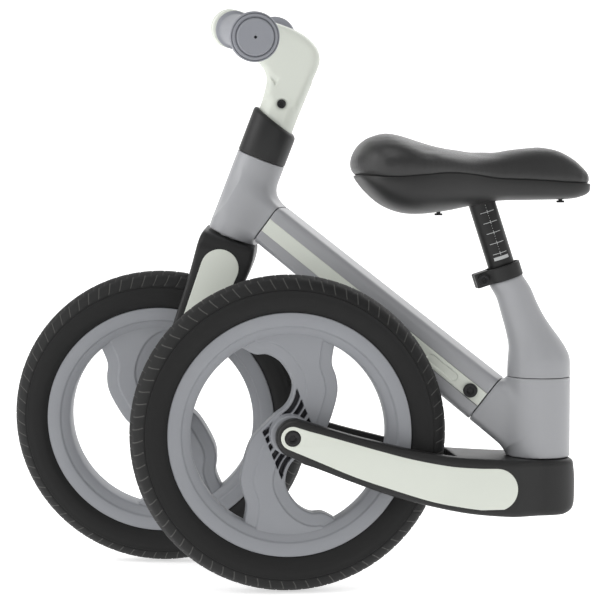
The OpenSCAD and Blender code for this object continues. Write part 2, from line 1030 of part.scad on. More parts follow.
// The saddle's outlines from the side, in X and Z, and its seam between pad and base.
saddle_top = spline([[-50, 313.6], [-49.5, 317], [-44, 326.5], [-33, 337], [-17, 346], [2, 349],
    [29, 346.5], [48, 343.5], [75, 342.7], [102, 346], [121, 352], [139, 359], [152, 361],
    [168, 356], [178, 346], [182, 334], [180, 322]], 3);
saddle_seam = spline([[180, 322], [163, 319.6], [148, 318.8], [120, 321], [99, 322.6], [75, 321.6],
    [48, 318], [10, 316.7], [-27, 314.5], [-50, 313.6]], 3);
saddle_low = spline([[-49, 311], [-47.5, 307], [-41, 302], [-27, 299], [10, 298], [43, 297],
    [70, 292], [93, 287.5], [117, 284.7], [135, 286.2], [152, 293.5], [166, 306], [174, 317],
    [175.5, 320]], 3);
saddle_half = spline([[-50, 0.5], [-46, 13], [-33, 21], [-10, 25], [25, 30], [60, 39], [90, 53],
    [120, 65], [145, 67], [165, 58], [177, 40], [182, 18], [183, 0.5]], 3);
module saddle_block(outline, cut) {
    intersection() {
        upright(-80, 80)
            polygon(outline);
        translate([0, 0, 200])
            linear_extrude(200)
                translate([cut * 0.6, 0])
                    polygon([for (p = concat(saddle_half, mirrored(saddle_half)))
                        [p[0] * (1 - cut / 90), p[1] * (1 - cut / 50)]]);
    }
}
module saddle_pad() {
    color(black)
        at_rear()
            saddle_block(concat(saddle_top, saddle_seam), 0);
}
module saddle_base() {
    color(rubber)
        difference() {
            at_rear()
                translate([0, 0, -0.05])
                    saddle_block(concat(turned(saddle_seam), turned(saddle_low)), 3);
            at_post()
                translate([0, 0, 150])
                    cylinder(r = post_r, h = post_top - 150);
            at_post()
                translate([0, 0, post_top - 1])
                    cylinder(r = 3.02, h = 10);
            at_rear()
                for (x = screw_xs)
                    translate([x, 0, 280])
                        cylinder(r = 2.02, h = 30);
        }
}
screw_xs = [-20, 98];
module saddle_screws() {
    color(steel)
        at_rear()
            for (x = screw_xs)
                translate([x, 0, x > 0 ? 285.4 : 297.6])
                    rotate([180, 0, 0])
                        socket_screw(3.8, 2, 2, 10);
}
module post_screw() {
    color(steel)
        at_post()
            translate([0, 0, post_top - 6.02])
                rotate([180, 0, 0])
                    socket_screw(6, 4, 3, 13);
}

head_tube();
down_tube();
hub();
tube_inlay_left();
tube_inlay_right();
tube_bolts();
headset_bushes();
hub_bushes();
lock_sleeve();
lock_plunger();
lock_knob();
lock_spring();
fork();
fork_inlay_left();
fork_inlay_right();
steerer_tube();
collar();
stem();
stem_screws();
handlebar();
grip_left();
grip_right();
front_axle();
front_axle_bolts();
front_axle_spacers();
front_rim();
front_tyre();
front_bearings();
front_sleeve();
rear_fork();
arm_inlay_left();
arm_inlay_right();
seat_tube();
fold_shaft();
fold_bolt();
seat_clamp();
clamp_bolt();
clamp_nut();
rear_axle();
rear_axle_bolts();
rear_axle_spacers();
rear_rim();
rear_tyre();
rear_bearings();
rear_sleeve();
seat_post();
saddle_base();
saddle_pad();
saddle_screws();
post_screw();
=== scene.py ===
"""A folding balance bike: the finished surfaces and materials around its CAD frame.

Lengths are in millimetres in each piece's own place, and turn to metres as the mesh is made.
"""
import json
import math

import bmesh
import bpy
import numpy as np
from mathutils.geometry import tessellate_polygon
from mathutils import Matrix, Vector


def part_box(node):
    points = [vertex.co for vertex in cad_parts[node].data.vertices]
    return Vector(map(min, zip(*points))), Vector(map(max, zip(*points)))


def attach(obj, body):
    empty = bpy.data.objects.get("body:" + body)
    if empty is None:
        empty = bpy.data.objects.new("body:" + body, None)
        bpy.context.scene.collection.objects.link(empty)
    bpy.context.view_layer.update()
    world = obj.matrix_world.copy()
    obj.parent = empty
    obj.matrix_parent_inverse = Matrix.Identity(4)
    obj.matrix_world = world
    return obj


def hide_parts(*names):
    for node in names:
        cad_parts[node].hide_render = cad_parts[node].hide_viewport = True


bl_info = {
    "name": "Balance bike",
    "version": (1, 0, 0),
    "blender": (4, 5, 0),
    "location": "View3D > Sidebar > Bike",
    "description": "Adds the finished pieces of a folding balance bike around its packed frame",
    "category": "Add Mesh",
}

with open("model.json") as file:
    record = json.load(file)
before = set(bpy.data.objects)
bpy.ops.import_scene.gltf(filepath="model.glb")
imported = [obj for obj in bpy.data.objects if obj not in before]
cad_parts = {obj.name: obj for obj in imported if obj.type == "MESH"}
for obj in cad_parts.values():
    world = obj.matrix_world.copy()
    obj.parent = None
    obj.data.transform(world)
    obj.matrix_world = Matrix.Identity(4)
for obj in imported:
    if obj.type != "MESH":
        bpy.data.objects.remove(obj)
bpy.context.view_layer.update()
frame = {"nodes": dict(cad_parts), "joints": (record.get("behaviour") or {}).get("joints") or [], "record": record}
MM = 0.001


# ---- Places: an origin in millimetres and three axes, one a row ----
def joint(name):
    """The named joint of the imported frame."""
    return next(j for j in frame["joints"] if j["name"] == name)


def axis(name):
    """The direction that a joint turns about or slides along."""
    return np.array(joint(name)["axis"], float)


def centre(name):
    """The point that a joint turns about, in millimetres."""
    return np.array(joint(name)["pos_m"], float) / MM


def place(origin, y, z):
    """A place with the given Y and Z directions: X is Y cross Z."""
    y, z = (np.array(v, float) / np.linalg.norm(v) for v in (y, z))
    return np.array(origin, float), np.stack([np.cross(y, z), y, z])


def moved(where, shift):
    """The same axes, with the origin moved along them."""
    return where[0] + np.array(shift, float) @ where[1], where[1]


def turned(where, degrees, about=1):
    """The place turned about one of its own axes."""
    c, s = math.cos(math.radians(degrees)), math.sin(math.radians(degrees))
    a, b = [(1, 2), (2, 0), (0, 1)][about]
    rows = where[1].copy()
    rows[a] = c * where[1][a] + s * where[1][b]
    rows[b] = c * where[1][b] - s * where[1][a]
    return where[0], rows


UP = np.array([0.0, 0.0, 1.0])
HEAD_LEAN = math.degrees(math.atan2(axis("steering_turn")[0], axis("steering_turn")[2]))
FRONT_SPIN = -12
STEER = place(centre("front_wheel_spin"), axis("front_wheel_spin"), axis("steering_turn"))
HEAD = place(centre("front_wheel_spin"), (0, 1, 0), axis("steering_turn"))
REAR = place((0, 0, 0), axis("rear_wheel_spin"), UP)
REAR_WHEEL = place(centre("rear_wheel_spin"), axis("rear_wheel_spin"), UP)
FRONT_WHEEL = turned(STEER, -HEAD_LEAN + FRONT_SPIN)
POST = place((0, 0, 122), axis("rear_wheel_spin"), axis("seat_height"))
HUB = place((0, 0, 0), (0, 1, 0), UP)
TUBE_SLOPE = math.radians(37.6)
TUBE = place((-50.3, 0, 106.8), (0, -1, 0), (math.sin(TUBE_SLOPE), 0, math.cos(TUBE_SLOPE)))
BAR = moved(STEER, (-70, 0, 391.5))
BAR_BEND = 20
BAR_SWEEP = 11
BAR_RISE = 1.5
BAR_LENGTH = (190 - BAR_BEND) / math.cos(math.radians(BAR_SWEEP))

TYRE_R = 150
RIM_IN_R = 93
HUB_LOW = 53.5
HUB_TOP = 129.5
HUB_R = 30
HEAD_LOW = 200
HEAD_TOP = 283
HEAD_R = 24.5
TUBE_LENGTH = 275
BLADE_OUT = 40
BLADE_IN = 28
ARM_OUT = 42
ARM_IN = 28
REACH = 241
AXLE_Z = 78
SEAM = 0.45


def bar_half(side):
    """The place of one half of the handlebar: Z out along the bar, from the bend."""
    sweep, rise = math.radians(BAR_SWEEP), math.radians(BAR_RISE)
    out = np.array([math.sin(sweep) * math.cos(rise), side * math.cos(sweep) * math.cos(rise), math.sin(rise)])
    start = moved(BAR, (0, side * BAR_BEND, 0))
    return place(start[0], np.cross(out @ BAR[1], BAR[1][0]), out @ BAR[1])


# ---- Curves ----
def smooth_line(points, steps=6):
    """Catmull-Rom: a cubic through each pair of points, whose slopes come from their neighbours."""
    p = np.array(points, float)
    ext = np.vstack([p[:1], p, p[-1:]])
    t = np.linspace(0, 1, steps, endpoint=False)[None, :, None]
    a, b, c, d = (ext[k:len(ext) - 3 + k, None, :] for k in range(4))
    line = 0.5 * (2 * b + (c - a) * t + (2 * a - 5 * b + 4 * c - d) * t ** 2 + (3 * b - a - 3 * c + d) * t ** 3)
    return np.vstack([line.reshape(-1, p.shape[1]), p[-1:]])


def arc(radius, start, end, steps, middle=(0, 0)):
    """Points on a circle between two angles in degrees."""
    a = np.radians(np.linspace(start, end, steps + 1))
    return np.stack([radius * np.cos(a) + middle[0], radius * np.sin(a) + middle[1]], 1)


def outward(outline):
    """The unit normals of a closed outline, that point out of it, one at each point."""
    along = np.roll(outline, -1, 0) - np.roll(outline, 1, 0)
    area = np.sum(outline[:, 0] * np.roll(outline[:, 1], -1) - outline[:, 1] * np.roll(outline[:, 0], -1))
    normal = np.stack([along[:, 1], -along[:, 0]], 1) * np.sign(area)
    return normal / np.maximum(np.linalg.norm(normal, axis=1, keepdims=True), 1e-9)


def even(outline, count):
    """A closed outline cut again into points the same distance apart."""
    ring = np.vstack([outline, outline[:1]])
    far = np.concatenate([[0], np.cumsum(np.linalg.norm(np.diff(ring, axis=0), axis=1))])
    at = np.linspace(0, far[-1], count, endpoint=False)
    return np.stack([np.interp(at, far, ring[:, k]) for k in range(2)], 1)


# ---- Meshes ----
def grid_faces(rows, columns, close_rows=False, close_columns=False):
    """The quads of a grid of points, closed round in either direction."""
    r = np.arange(rows if close_rows else rows - 1)
    c = np.arange(columns if close_columns else columns - 1)
    i, j = np.meshgrid(r, c, indexing="ij")
    i2, j2 = (i + 1) % rows, (j + 1) % columns
    return np.stack([i * columns + j, i2 * columns + j, i2 * columns + j2, i * columns + j2], -1).reshape(-1, 4)


def surface(points, close_rows=False, close_columns=True):
    """A grid of points as a part of a mesh: its points and its quads."""
    rows, columns = points.shape[:2]
    return points.reshape(-1, 3), grid_faces(rows, columns, close_rows, close_columns).tolist()


def revolved(profile, count=96, close=False):
    """A profile of radius and height carried round Z: x = r cos a, y = r sin a."""
    a = np.linspace(0, 2 * np.pi, count, endpoint=False)[None, :]
    r, z = (np.array(profile, float)[:, k:k + 1] for k in range(2))
    return surface(np.stack([r * np.cos(a), r * np.sin(a), z + 0 * a], -1), close_rows=close)


def on_y(part):
    """A part that was made round Z, laid along Y instead."""
    points, faces = part
    return np.stack([points[:, 1], points[:, 2], points[:, 0]], 1), faces


def slab(outline, low, high, edge, hole=None, steps=5):
    """A plate with round edges: its outline, in X and Z, moved in by the edge's quarter circle as it rises in Y.

    A hole's outline moves out instead. The two flat faces are filled between the loops.
    """
    a = np.linspace(0, np.pi / 2, steps + 1)
    inset = np.concatenate([edge * (1 - np.cos(a))[::-1], edge * (1 - np.cos(a))])
    height = np.concatenate([low + edge * (1 - np.sin(a))[::-1], high - edge * (1 - np.sin(a))])
    points, faces, starts = [], [], []
    for loop, way in ((outline, -1), (hole, 1)):
        if loop is None:
            continue
        flat = loop[None] + way * outward(loop)[None] * inset[:, None, None]
        tall = np.broadcast_to(height[:, None], flat.shape[:2])
        p, f = surface(np.stack([flat[..., 0], tall, flat[..., 1]], -1))
        starts.append((sum(len(q) for q in points), len(loop)))
        faces += [[v + starts[-1][0] for v in quad] for quad in f]
        points.append(p)
    points = np.vstack(points)
    for row in (0, len(inset) - 1):
        index = np.concatenate([start + row * n + np.arange(n) for start, n in starts])
        ends = np.cumsum([0] + [n for _, n in starts])
        loops = [[tuple(points[v]) for v in index[i:j]] for i, j in zip(ends[:-1], ends[1:])]
        faces += [[int(index[v]) for v in three] for three in tessellate_polygon(loops)]
    return points, faces


def hex_radius(angle, flat):
    """The radius of a hexagon at an angle, whose flats lie at the given distance."""
    return flat / np.cos((angle + np.pi / 6) % (np.pi / 3) - np.pi / 6)


def socket_head(radius, height, socket, depth, shank, length, count=72):
    """A cap screw: a shank below z = 0, a head with a quarter-circle edge and a socket that follows a hexagon."""
    edge = radius * 0.14
    q = np.linspace(0, np.pi / 2, 5)
    outer = [(0, -length), (shank - 0.3, -length), (shank, -length + 0.3), (shank, 0), (radius, 0)]
    outer += [(radius - edge + edge * math.cos(t), height - edge + edge * math.sin(t)) for t in q]
    outer += [(socket * 1.32, height)]
    inner = [(socket * 1.12, height - 0.25), (socket, height - 0.5), (socket, height - depth), (0, height - depth)]
    a = np.linspace(0, 2 * np.pi, count, endpoint=False)[None, :]
    ro, zo = (np.array(outer)[:, k:k + 1] for k in range(2))
    ri, zi = (np.array(inner)[:, k:k + 1] for k in range(2))
    bend = hex_radius(a, 1.0) * 0.93
    r = np.vstack([ro + 0 * a, ri * np.vstack([0.4 + 0.6 * bend, bend, bend, bend])])
    z = np.vstack([zo + 0 * a, zi + 0 * a])
    return surface(np.stack([r * np.cos(a), r * np.sin(a), z], -1))


def put(part, where):
    """A part moved from its place to the row frame."""
    points, faces = part
    return where[0] + points @ where[1], faces


def facing(where, side):
    """A place whose Z points out along Y, to the given side."""
    return place(where[0], where[1][0], where[1][1] * side)


def piece(name, parts, body, slot, stands_for=(), sharp=32, marks=None, look=None):
    """Joins placed parts into one mesh with its faces outwards, and ties it to a body of the frame."""
    points, faces, shades, start = [], [], [], 0
    for k, (p, f) in enumerate(parts):
        points.append(p)
        faces += [[v + start for v in face] for face in f]
        shades.append(np.zeros(len(p)) if marks is None or marks[k] is None else marks[k])
        start += len(p)
    mesh = bpy.data.meshes.new(name)
    mesh.from_pydata((np.vstack(points) * MM).tolist(), [], faces)
    # The shade attribute holds the parts' marks: the rims' painted shade, the tyres' painted highlight and the post's
    # print.
    if marks is not None:
        shade = mesh.attributes.new("shade", "FLOAT", "POINT")
        shade.data.foreach_set("value", np.concatenate(shades).astype(np.float32))
    shell = bmesh.new()
    shell.from_mesh(mesh)
    bmesh.ops.remove_doubles(shell, verts=shell.verts, dist=1e-6)
    bmesh.ops.dissolve_degenerate(shell, edges=shell.edges, dist=1e-7)
    bmesh.ops.recalc_face_normals(shell, faces=shell.faces)
    shell.to_mesh(mesh)
    shell.free()
    mesh.shade_smooth()
    mesh.set_sharp_from_angle(angle=math.radians(sharp))
    made = bpy.data.objects.new(name, mesh)
    bpy.context.scene.collection.objects.link(made)
    mesh.materials.append(material(look or slot))
    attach(made, body)
    if stands_for:
        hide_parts(*stands_for)
    return made


# ---- Castings: solids given by their distance to a surface, negative inside ----
def join(a, b, fillet):
    """The union of two solids, with a fillet where they meet: a smooth minimum of their distances."""
    h = np.clip(0.5 + 0.5 * (b - a) / fillet, 0, 1)
    return b * (1 - h) + a * h - fillet * h * (1 - h)


def common(a, b, edge):
    """What two solids share, with a rounded edge: a smooth maximum of their distances."""
    return -join(-a, -b, edge)


def outline_distance(x, z, outline):
    """The distance from each point to a closed outline: the least over its sides, negative inside."""
    best, inside = np.full(np.broadcast(x, z).shape, 1e9), np.zeros(np.broadcast(x, z).shape, bool)
    for (ax, az), (bx, bz) in zip(outline, np.roll(outline, -1, 0)):
        dx, dz = bx - ax, bz - az
        t = np.clip(((x - ax) * dx + (z - az) * dz) / max(dx * dx + dz * dz, 1e-9), 0, 1)
        best = np.minimum(best, (x - ax - t * dx) ** 2 + (z - az - t * dz) ** 2)
        if dz:
            inside ^= ((az > z) != (bz > z)) & (x < dx * (z - az) / dz + ax)
    return np.where(inside, -1, 1) * np.sqrt(best)


def rounded_box_distance(a, b, half_a, half_b, edge):
    """The distance to a rectangle with round corners."""
    qa, qb = np.abs(a) - half_a + edge, np.abs(b) - half_b + edge
    return np.hypot(np.maximum(qa, 0), np.maximum(qb, 0)) + np.minimum(np.maximum(qa, qb), 0) - edge


def cast(distance, low, high, step):
    """The zero surface of a distance: one point in each cell that it crosses, the mean of where it crosses the
    cell's edges, drawn onto the surface along the distance's slope."""
    axes = [np.arange(a, b + step, step) for a, b in zip(low, high)]
    f = distance(*np.meshgrid(*axes, indexing="ij", sparse=True)) + np.zeros([len(a) for a in axes])
    total, hits, quads = np.zeros((3, *(n - 1 for n in f.shape))), np.zeros([n - 1 for n in f.shape]), []
    number = np.zeros([n - 1 for n in f.shape], np.int64)
    for k in range(3):
        g = np.moveaxis(f, k, 0)
        a, b = g[:-1], g[1:]
        crossed = (a < 0) != (b < 0)
        t = np.where(crossed, a / np.where(a == b, 1, a - b), 0)
        i = np.arange(a.shape[0])[:, None, None] + t
        j, m = np.arange(a.shape[1])[None, :, None], np.arange(a.shape[2])[None, None, :]
        view, count = np.moveaxis(total, k + 1, 1), np.moveaxis(hits, k, 0)
        rest = [d for d in range(3) if d != k]
        for dj in (0, 1):
            for dm in (0, 1):
                s = (slice(None), slice(dj, a.shape[1] - 1 + dj), slice(dm, a.shape[2] - 1 + dm))
                count += crossed[s]
                view[k] += np.where(crossed, i, 0)[s]
                view[rest[0]] += np.where(crossed, j, 0)[s]
                view[rest[1]] += np.where(crossed, m, 0)[s]
    full = hits > 0
    number[full] = np.arange(int(full.sum()))
    for k in range(3):
        g, cells = np.moveaxis(f, k, 0), np.moveaxis(number, k, 0)
        a, b = g[:-1, 1:-1, 1:-1], g[1:, 1:-1, 1:-1]
        at = np.nonzero((a < 0) != (b < 0))
        corner = [cells[at[0], at[1] + dj, at[2] + dm] for dj, dm in ((0, 0), (1, 0), (1, 1), (0, 1))]
        quads.append(np.stack(corner, 1))
    points = np.array(low) + step * (total[:, full] / hits[full]).T
    for _ in range(3):
        here = distance(*points.T)
        slope = np.stack([distance(*(points + e).T) - here for e in 0.05 * np.eye(3)], 1) / 0.05
        push = slope * (here / np.maximum((slope ** 2).sum(1), 0.2))[:, None]
        points = points - np.clip(push, -0.5 * step, 0.5 * step)
    return points, np.vstack(quads).tolist()


# ---- Materials ----
def linear(colour):
    """An sRGB hex colour as linear red, green, blue and 1."""
    s = [int(colour[k:k + 2], 16) / 255 for k in (1, 3, 5)]
    return [c / 12.92 if c <= 0.04045 else ((c + 0.055) / 1.055) ** 2.4 for c in s] + [1.0]


def add_node(tree, kind, settings=None, links=None, **values):
    """Adds a node: settings are its own properties, values its sockets' numbers, links what feeds its sockets."""
    node = tree.nodes.new(kind)
    for key, value in (settings or {}).items():
        setattr(node, key, value)
    for key, value in values.items():
        node.inputs[key.replace("_", " ") if not key.startswith("n") else int(key[1:])].default_value = value
    for key, source in (links or {}).items():
        tree.links.new(source, node.inputs[key])
    return node


def finish(name, colour, worn, roughness, grain, depth, cells=False, marks=None, **shader):
    """A solid finish on Object coordinates: worn blotches 40 mm across in its colour and gloss, and a grain.

    grain is the grain's size and depth its height, both in millimetres; cells draws it as closed cells, as on leather.
    marks is the colour where the piece's own shade attribute is 1: painted shade on the rims' slot floors, a painted
    highlight along the tyres' grooves, and the printed scale on the seat post.
    """
    made = bpy.data.materials.new(name)
    made.use_nodes = True
    tree = made.node_tree
    shade = tree.nodes["Principled BSDF"]
    for key, value in shader.items():
        shade.inputs[key.replace("_", " ")].default_value = value
    where = add_node(tree, "ShaderNodeTexCoord").outputs["Object"]
    blotch = add_node(tree, "ShaderNodeTexNoise", links={"Vector": where}, Scale=1 / 0.04, Detail=4.0).outputs["Fac"]
    tone = add_node(tree, "ShaderNodeMix", {"data_type": "RGBA"}, {"Factor": blotch})
    tone.inputs[6].default_value, tone.inputs[7].default_value = linear(colour), linear(worn)
    colour_out = tone.outputs[2]
    # Mixes in the marks colour by the shade attribute: painted shade in the rims' slots, painted highlight along the
    # tyres' grooves, print on the post's scale.
    if marks:
        shown = add_node(tree, "ShaderNodeAttribute", {"attribute_name": "shade"}).outputs["Fac"]
        dark = add_node(tree, "ShaderNodeMix", {"data_type": "RGBA"}, {"Factor": shown, 6: colour_out})
        dark.inputs[7].default_value = linear(marks)
        colour_out = dark.outputs[2]
    tree.links.new(colour_out, shade.inputs["Base Color"])
    gloss = add_node(tree, "ShaderNodeMapRange", links={"Value": blotch})
    gloss.inputs["To Min"].default_value, gloss.inputs["To Max"].default_value = roughness
    tree.links.new(gloss.outputs[0], shade.inputs["Roughness"])
    size = 1 / (grain * MM)
    if cells:
        soft = add_node(tree, "ShaderNodeTexNoise", links={"Vector": where}, Scale=size / 3, Detail=2.0)
        bent = add_node(tree, "ShaderNodeMix", {"data_type": "VECTOR"}, {4: where, 5: soft.outputs["Color"]})
        bent.inputs["Factor"].default_value = 0.002
        fine = add_node(tree, "ShaderNodeTexVoronoi", {"feature": "DISTANCE_TO_EDGE"},
                        {"Vector": bent.outputs[1]}, Scale=size)
        rise = add_node(tree, "ShaderNodeMapRange", links={"Value": fine.outputs["Distance"]})
        rise.inputs["From Max"].default_value = 0.25
        height = rise.outputs[0]
    else:
        height = add_node(tree, "ShaderNodeTexNoise", links={"Vector": where}, Scale=size, Detail=3.0).outputs["Fac"]
    bump = add_node(tree, "ShaderNodeBump", links={"Height": height}, Strength=1.0, Distance=depth * MM)
    tree.links.new(bump.outputs[0], shade.inputs["Normal"])
    return made


def grey_enamel():
    """Polyester powder coat on aluminium, baked: an even satin grey with a faint orange peel, 3 mm across."""
    return finish("powder coat, grey", "#9fa0a3", "#9b9c9f", (0.36, 0.42), 3.0, 0.035,
                  Coat_Weight=0.12, Coat_Roughness=0.25)


def white_plastic():
    """Polypropylene, moulded in off white: soft gloss over a fine spark-eroded texture, 0.8 mm as drawn."""
    return finish("polypropylene, off white", "#d9ddd3", "#d4d8cf", (0.36, 0.44), 0.8, 0.012)


def black_casting():
    """Glass-filled nylon, moulded in black: satin, with a slight texture, 1 mm as drawn."""
    return finish("glass-filled nylon, black", "#222222", "#1e1e1e", (0.40, 0.50), 1.0, 0.03,
                  Specular_IOR_Level=0.35)


def rim_plastic():
    """Glass-filled nylon, moulded in grey: matt, with the slot floors painted near black as painted shade, standing in
    for the slots' depth.
    """
    # 1d1d24 is painted shade: the near black of the slot floors.
    return finish("glass-filled nylon, grey", "#909296", "#8b8d92", (0.46, 0.54), 1.2, 0.02, marks="#1d1d24")


def tyre_rubber():
    """Closed-cell EVA foam: matt black, with a skin grain of 0.9 mm as drawn; a painted highlight, paler grey, along
    the tread's cross grooves.
    """
    # 50504e is a painted highlight along the groove edges.
    return finish("EVA foam, black", "#181818", "#1c1c1c", (0.62, 0.74), 0.9, 0.04, marks="#50504e",
                  Specular_IOR_Level=0.3)


def grip_rubber():
    """Thermoplastic rubber, moulded in grey: quite matt."""
    return finish("thermoplastic rubber, grey", "#8b8d92", "#868890", (0.52, 0.6), 0.7, 0.015)


def bright_steel():
    """Zinc-plated steel, turned and drawn."""
    return finish("zinc-plated steel", "#b9bbbd", "#a9abad", (0.26, 0.38), 0.6, 0.004, Metallic=1.0)


def black_steel():
    """Oxide-blacked steel screws: a dark, soft metal gloss."""
    return finish("black oxide steel", "#2a2a2b", "#1f1f20", (0.3, 0.42), 0.6, 0.006, Metallic=0.55)


def post_enamel():
    """Powder coat on steel tube, satin black, with the height scale printed in light grey."""
    return finish("powder coat, black", "#191919", "#161616", (0.34, 0.42), 2.5, 0.02, marks="#b4b6b6",
                  Specular_IOR_Level=0.35)


def nylon():
    """Nylon bushes, turned: waxy and pale."""
    return finish("nylon, natural", "#dcdad0", "#d2d0c6", (0.4, 0.48), 0.8, 0.006)


def saddle_leather():
    """Polyurethane leather: a fine pebble grain of 1.1 mm cells, as on the real cover, with a waxy sheen."""
    return finish("polyurethane leather, black", "#1d1d1d", "#232323", (0.36, 0.46), 1.1, 0.05, cells=True,
                  Specular_IOR_Level=0.5, Sheen_Weight=0.12, Sheen_Roughness=0.4)


def base_plastic():
    """Polypropylene, moulded in black: the saddle's smooth shell."""
    return finish("polypropylene, black", "#1b1b1b", "#1e1e1e", (0.42, 0.5), 0.9, 0.015,
                  Specular_IOR_Level=0.4)


MAKERS = {
    "grey_enamel": grey_enamel, "white_plastic": white_plastic, "black_casting": black_casting,
    "rim_plastic": rim_plastic, "tyre_rubber": tyre_rubber, "grip_rubber": grip_rubber, "steel": bright_steel,
    "black_steel": black_steel, "post_enamel": post_enamel, "nylon": nylon, "saddle_leather": saddle_leather,
    "base_plastic": base_plastic,
}
MADE = {}


def material(slot):
    """The finish of a slot of the record, made once."""
    if slot not in MADE:
        MADE[slot] = MAKERS[slot]()
    return MADE[slot]


# ---- Wheels ----
def tyre_parts(where, blocks, groove):
    """A tyre: its section, from bead to bead over the tread, carried round the axle.

    Cross grooves lie at each whole block on the crown and halfway between on the shoulders, where they bend forwards
    as the square of the distance from the crown. Two rings on each side are cut all the way round.
    """
    half = smooth_line([(112, 15.2), (116.5, 18.6), (121, 21.6), (128, 22.9), (132.5, 22.6), (134.6, 22.5),
                        (136.2, 22.0), (141, 19.2), (145.4, 14.6), (148.4, 8.2), (149.8, 3), (149.8, 0)], 4)
    section = np.vstack([half[:-1], half[::-1] * [1, -1]])
    radius, across = section[:, 0], section[:, 1]
    column = np.array([0, 0.03, 0.07, 0.43, 0.47, 0.5, 0.53, 0.57, 0.93, 0.97])
    phase = (np.arange(blocks)[:, None] + column[None, :]).reshape(1, -1)
    run = np.cumsum(np.concatenate([[0], np.hypot(*np.diff(section, axis=0).T)]))
    out = np.abs(run - run[-1] / 2)[:, None]
    off = np.abs((phase + np.where(out < 11, 0.0, 0.5) + 0.5) % 1 - 0.5) * (2 * np.pi * TYRE_R / blocks)
    cross = np.clip(1.6 - off / groove, 0, 1) * np.clip((26.0 - out) / 0.8, 0, 1)
    ring = np.clip(1.4 - np.abs(out - 11) / 0.7, 0, 1) + np.clip(1.4 - np.abs(out - 27.3) / 0.7, 0, 1)
    deep = np.maximum(0.55 * cross, 0.9 * np.clip(ring, 0, 1))
    along = np.gradient(section, axis=0)
    normal = np.stack([along[:, 1], -along[:, 0]], 1) / np.linalg.norm(along, axis=1)[:, None]
    normal *= np.sign(normal[len(normal) // 2, 0])
    a = (phase + 0.3 * np.clip((out - 11) / 15, 0, 1) ** 2) * 2 * np.pi / blocks
    r = radius[:, None] - deep * normal[:, :1]
    y = across[:, None] - deep * normal[:, 1:]
    bead = np.array([[110.5, -12.0], [110.5, 12.0]])
    r = np.vstack([r, np.repeat(bead[:, :1], phase.shape[1], 1)])
    y = np.vstack([y, np.repeat(bead[:, 1:], phase.shape[1], 1)])
    a = np.vstack([a, np.repeat(a[-1:], 2, 0)])
    # Painted highlight: pale grey along the cross grooves, faint on the crown and none in the rings, standing in for
    # light caught on the groove edges.
    pale = np.vstack([cross * np.where(out < 11, 0.3, 1.0) * (ring < 0.5), np.zeros((2, phase.shape[1]))])
    return [put(surface(np.stack([r * np.cos(a), y, r * np.sin(a)], -1), close_rows=True), where)], [pale.reshape(-1)]


SPOKE_EDGE = smooth_line([(48, 84), (33, 75.5), (20, 75), (7, 66.5), (-3, 50), (-2.5, 37), (3, 26.5), (13, 18.5),
                          (24, 8), (35, -4), (42, -22), (46, -40), (44.5, -54), (40.5, -67), (43, -84.5)], 4)
OPENING = np.vstack([SPOKE_EDGE, arc(RIM_IN_R + 1.5, -62, 59, 24)])
ROW_POINT, ROW_ALONG = np.array([-7.3, 42.4]), np.array([-0.37, -0.929])


def ease(t):
    """A smooth step from 0 to 1."""
    t = np.clip(t, 0, 1)
    return t * t * (3 - 2 * t)


def slot_shade(x, z, d):
    """1 in the slots between the hub and each spoke: bands along the opening's edge, on the hub's side of a line. It
    cuts the slots, and on their floors it masks the near-black painted shade.
    """
    px, pz = x - ROW_POINT[0], z - ROW_POINT[1]
    first = -(px * ROW_ALONG[1] - pz * ROW_ALONG[0])
    qx, qz = -x - ROW_POINT[0], -z - ROW_POINT[1]
    second = -(qx * ROW_ALONG[1] - qz * ROW_ALONG[0])
    inner = np.minimum(first, second)
    band = (d - 5.5 + 3.15) % 6.3 - 3.15
    wide = ease((2.6 - np.abs(band)) / 0.8) * ease((d - 2.9) / 0.6)
    r = np.hypot(x, z)
    return wide * ease(inner / 0.8 + 0.5) * ease((r - 19.6) / 0.8 + 0.5) * ease((54 - r) / 0.8 + 0.5)


def spoke_distance(x, y, z):
    """The spokes: a plate whose half thickness depends on the distance to the openings, with the hub through it.

    From an opening's edge it is a round of 3 mm, a slope 9 mm wide, a step and a flat; the slots go 5 mm deep.
    """
    d = np.minimum(outline_distance(x, z, OPENING), outline_distance(-x, -z, OPENING))
    r = np.hypot(x, z)
    flat = 9.3 + 1.5 * ease(d / 11.5) + 1.5 * ease((d - 11.2) / 1.6)
    flat = flat - 5.5 * slot_shade(x, z, d)
    plate = common(common(np.abs(y) - flat, -d, 2.6), r - 96.5, 0.5)
    boss = common(r - 18.7, np.abs(y) - 22.4, 1.6)
    hole = np.minimum(11.2 - r + 0 * y, np.abs(y) - 14.8)
    return common(join(plate, boss, 2.0), np.maximum(hole, 7.7 - r), 0.4)


def ring_section():
    """The rim ring's section, radius against width: seat, round lips, face, crease and the slope inwards."""
    one = [(110, 0), (110, 11.5), (110.6, 12.6), (114.2, 15.2), (115, 16.2), (115, 17.6), (114.5, 18.7), (113.2, 19),
           (108, 18.85), (103.2, 18.3), (102.4, 18.0), (101.9, 17.2), (101.5, 16.2), (101.0, 15.7), (100.2, 15.5),
           (98, 14.6), (95, 12.6), (93.6, 11.2), (93.0, 9.6), (93.0, 0)]
    one = np.array(one)
    return np.vstack([one[:-1], one[::-1][:-1] * [1, -1]])


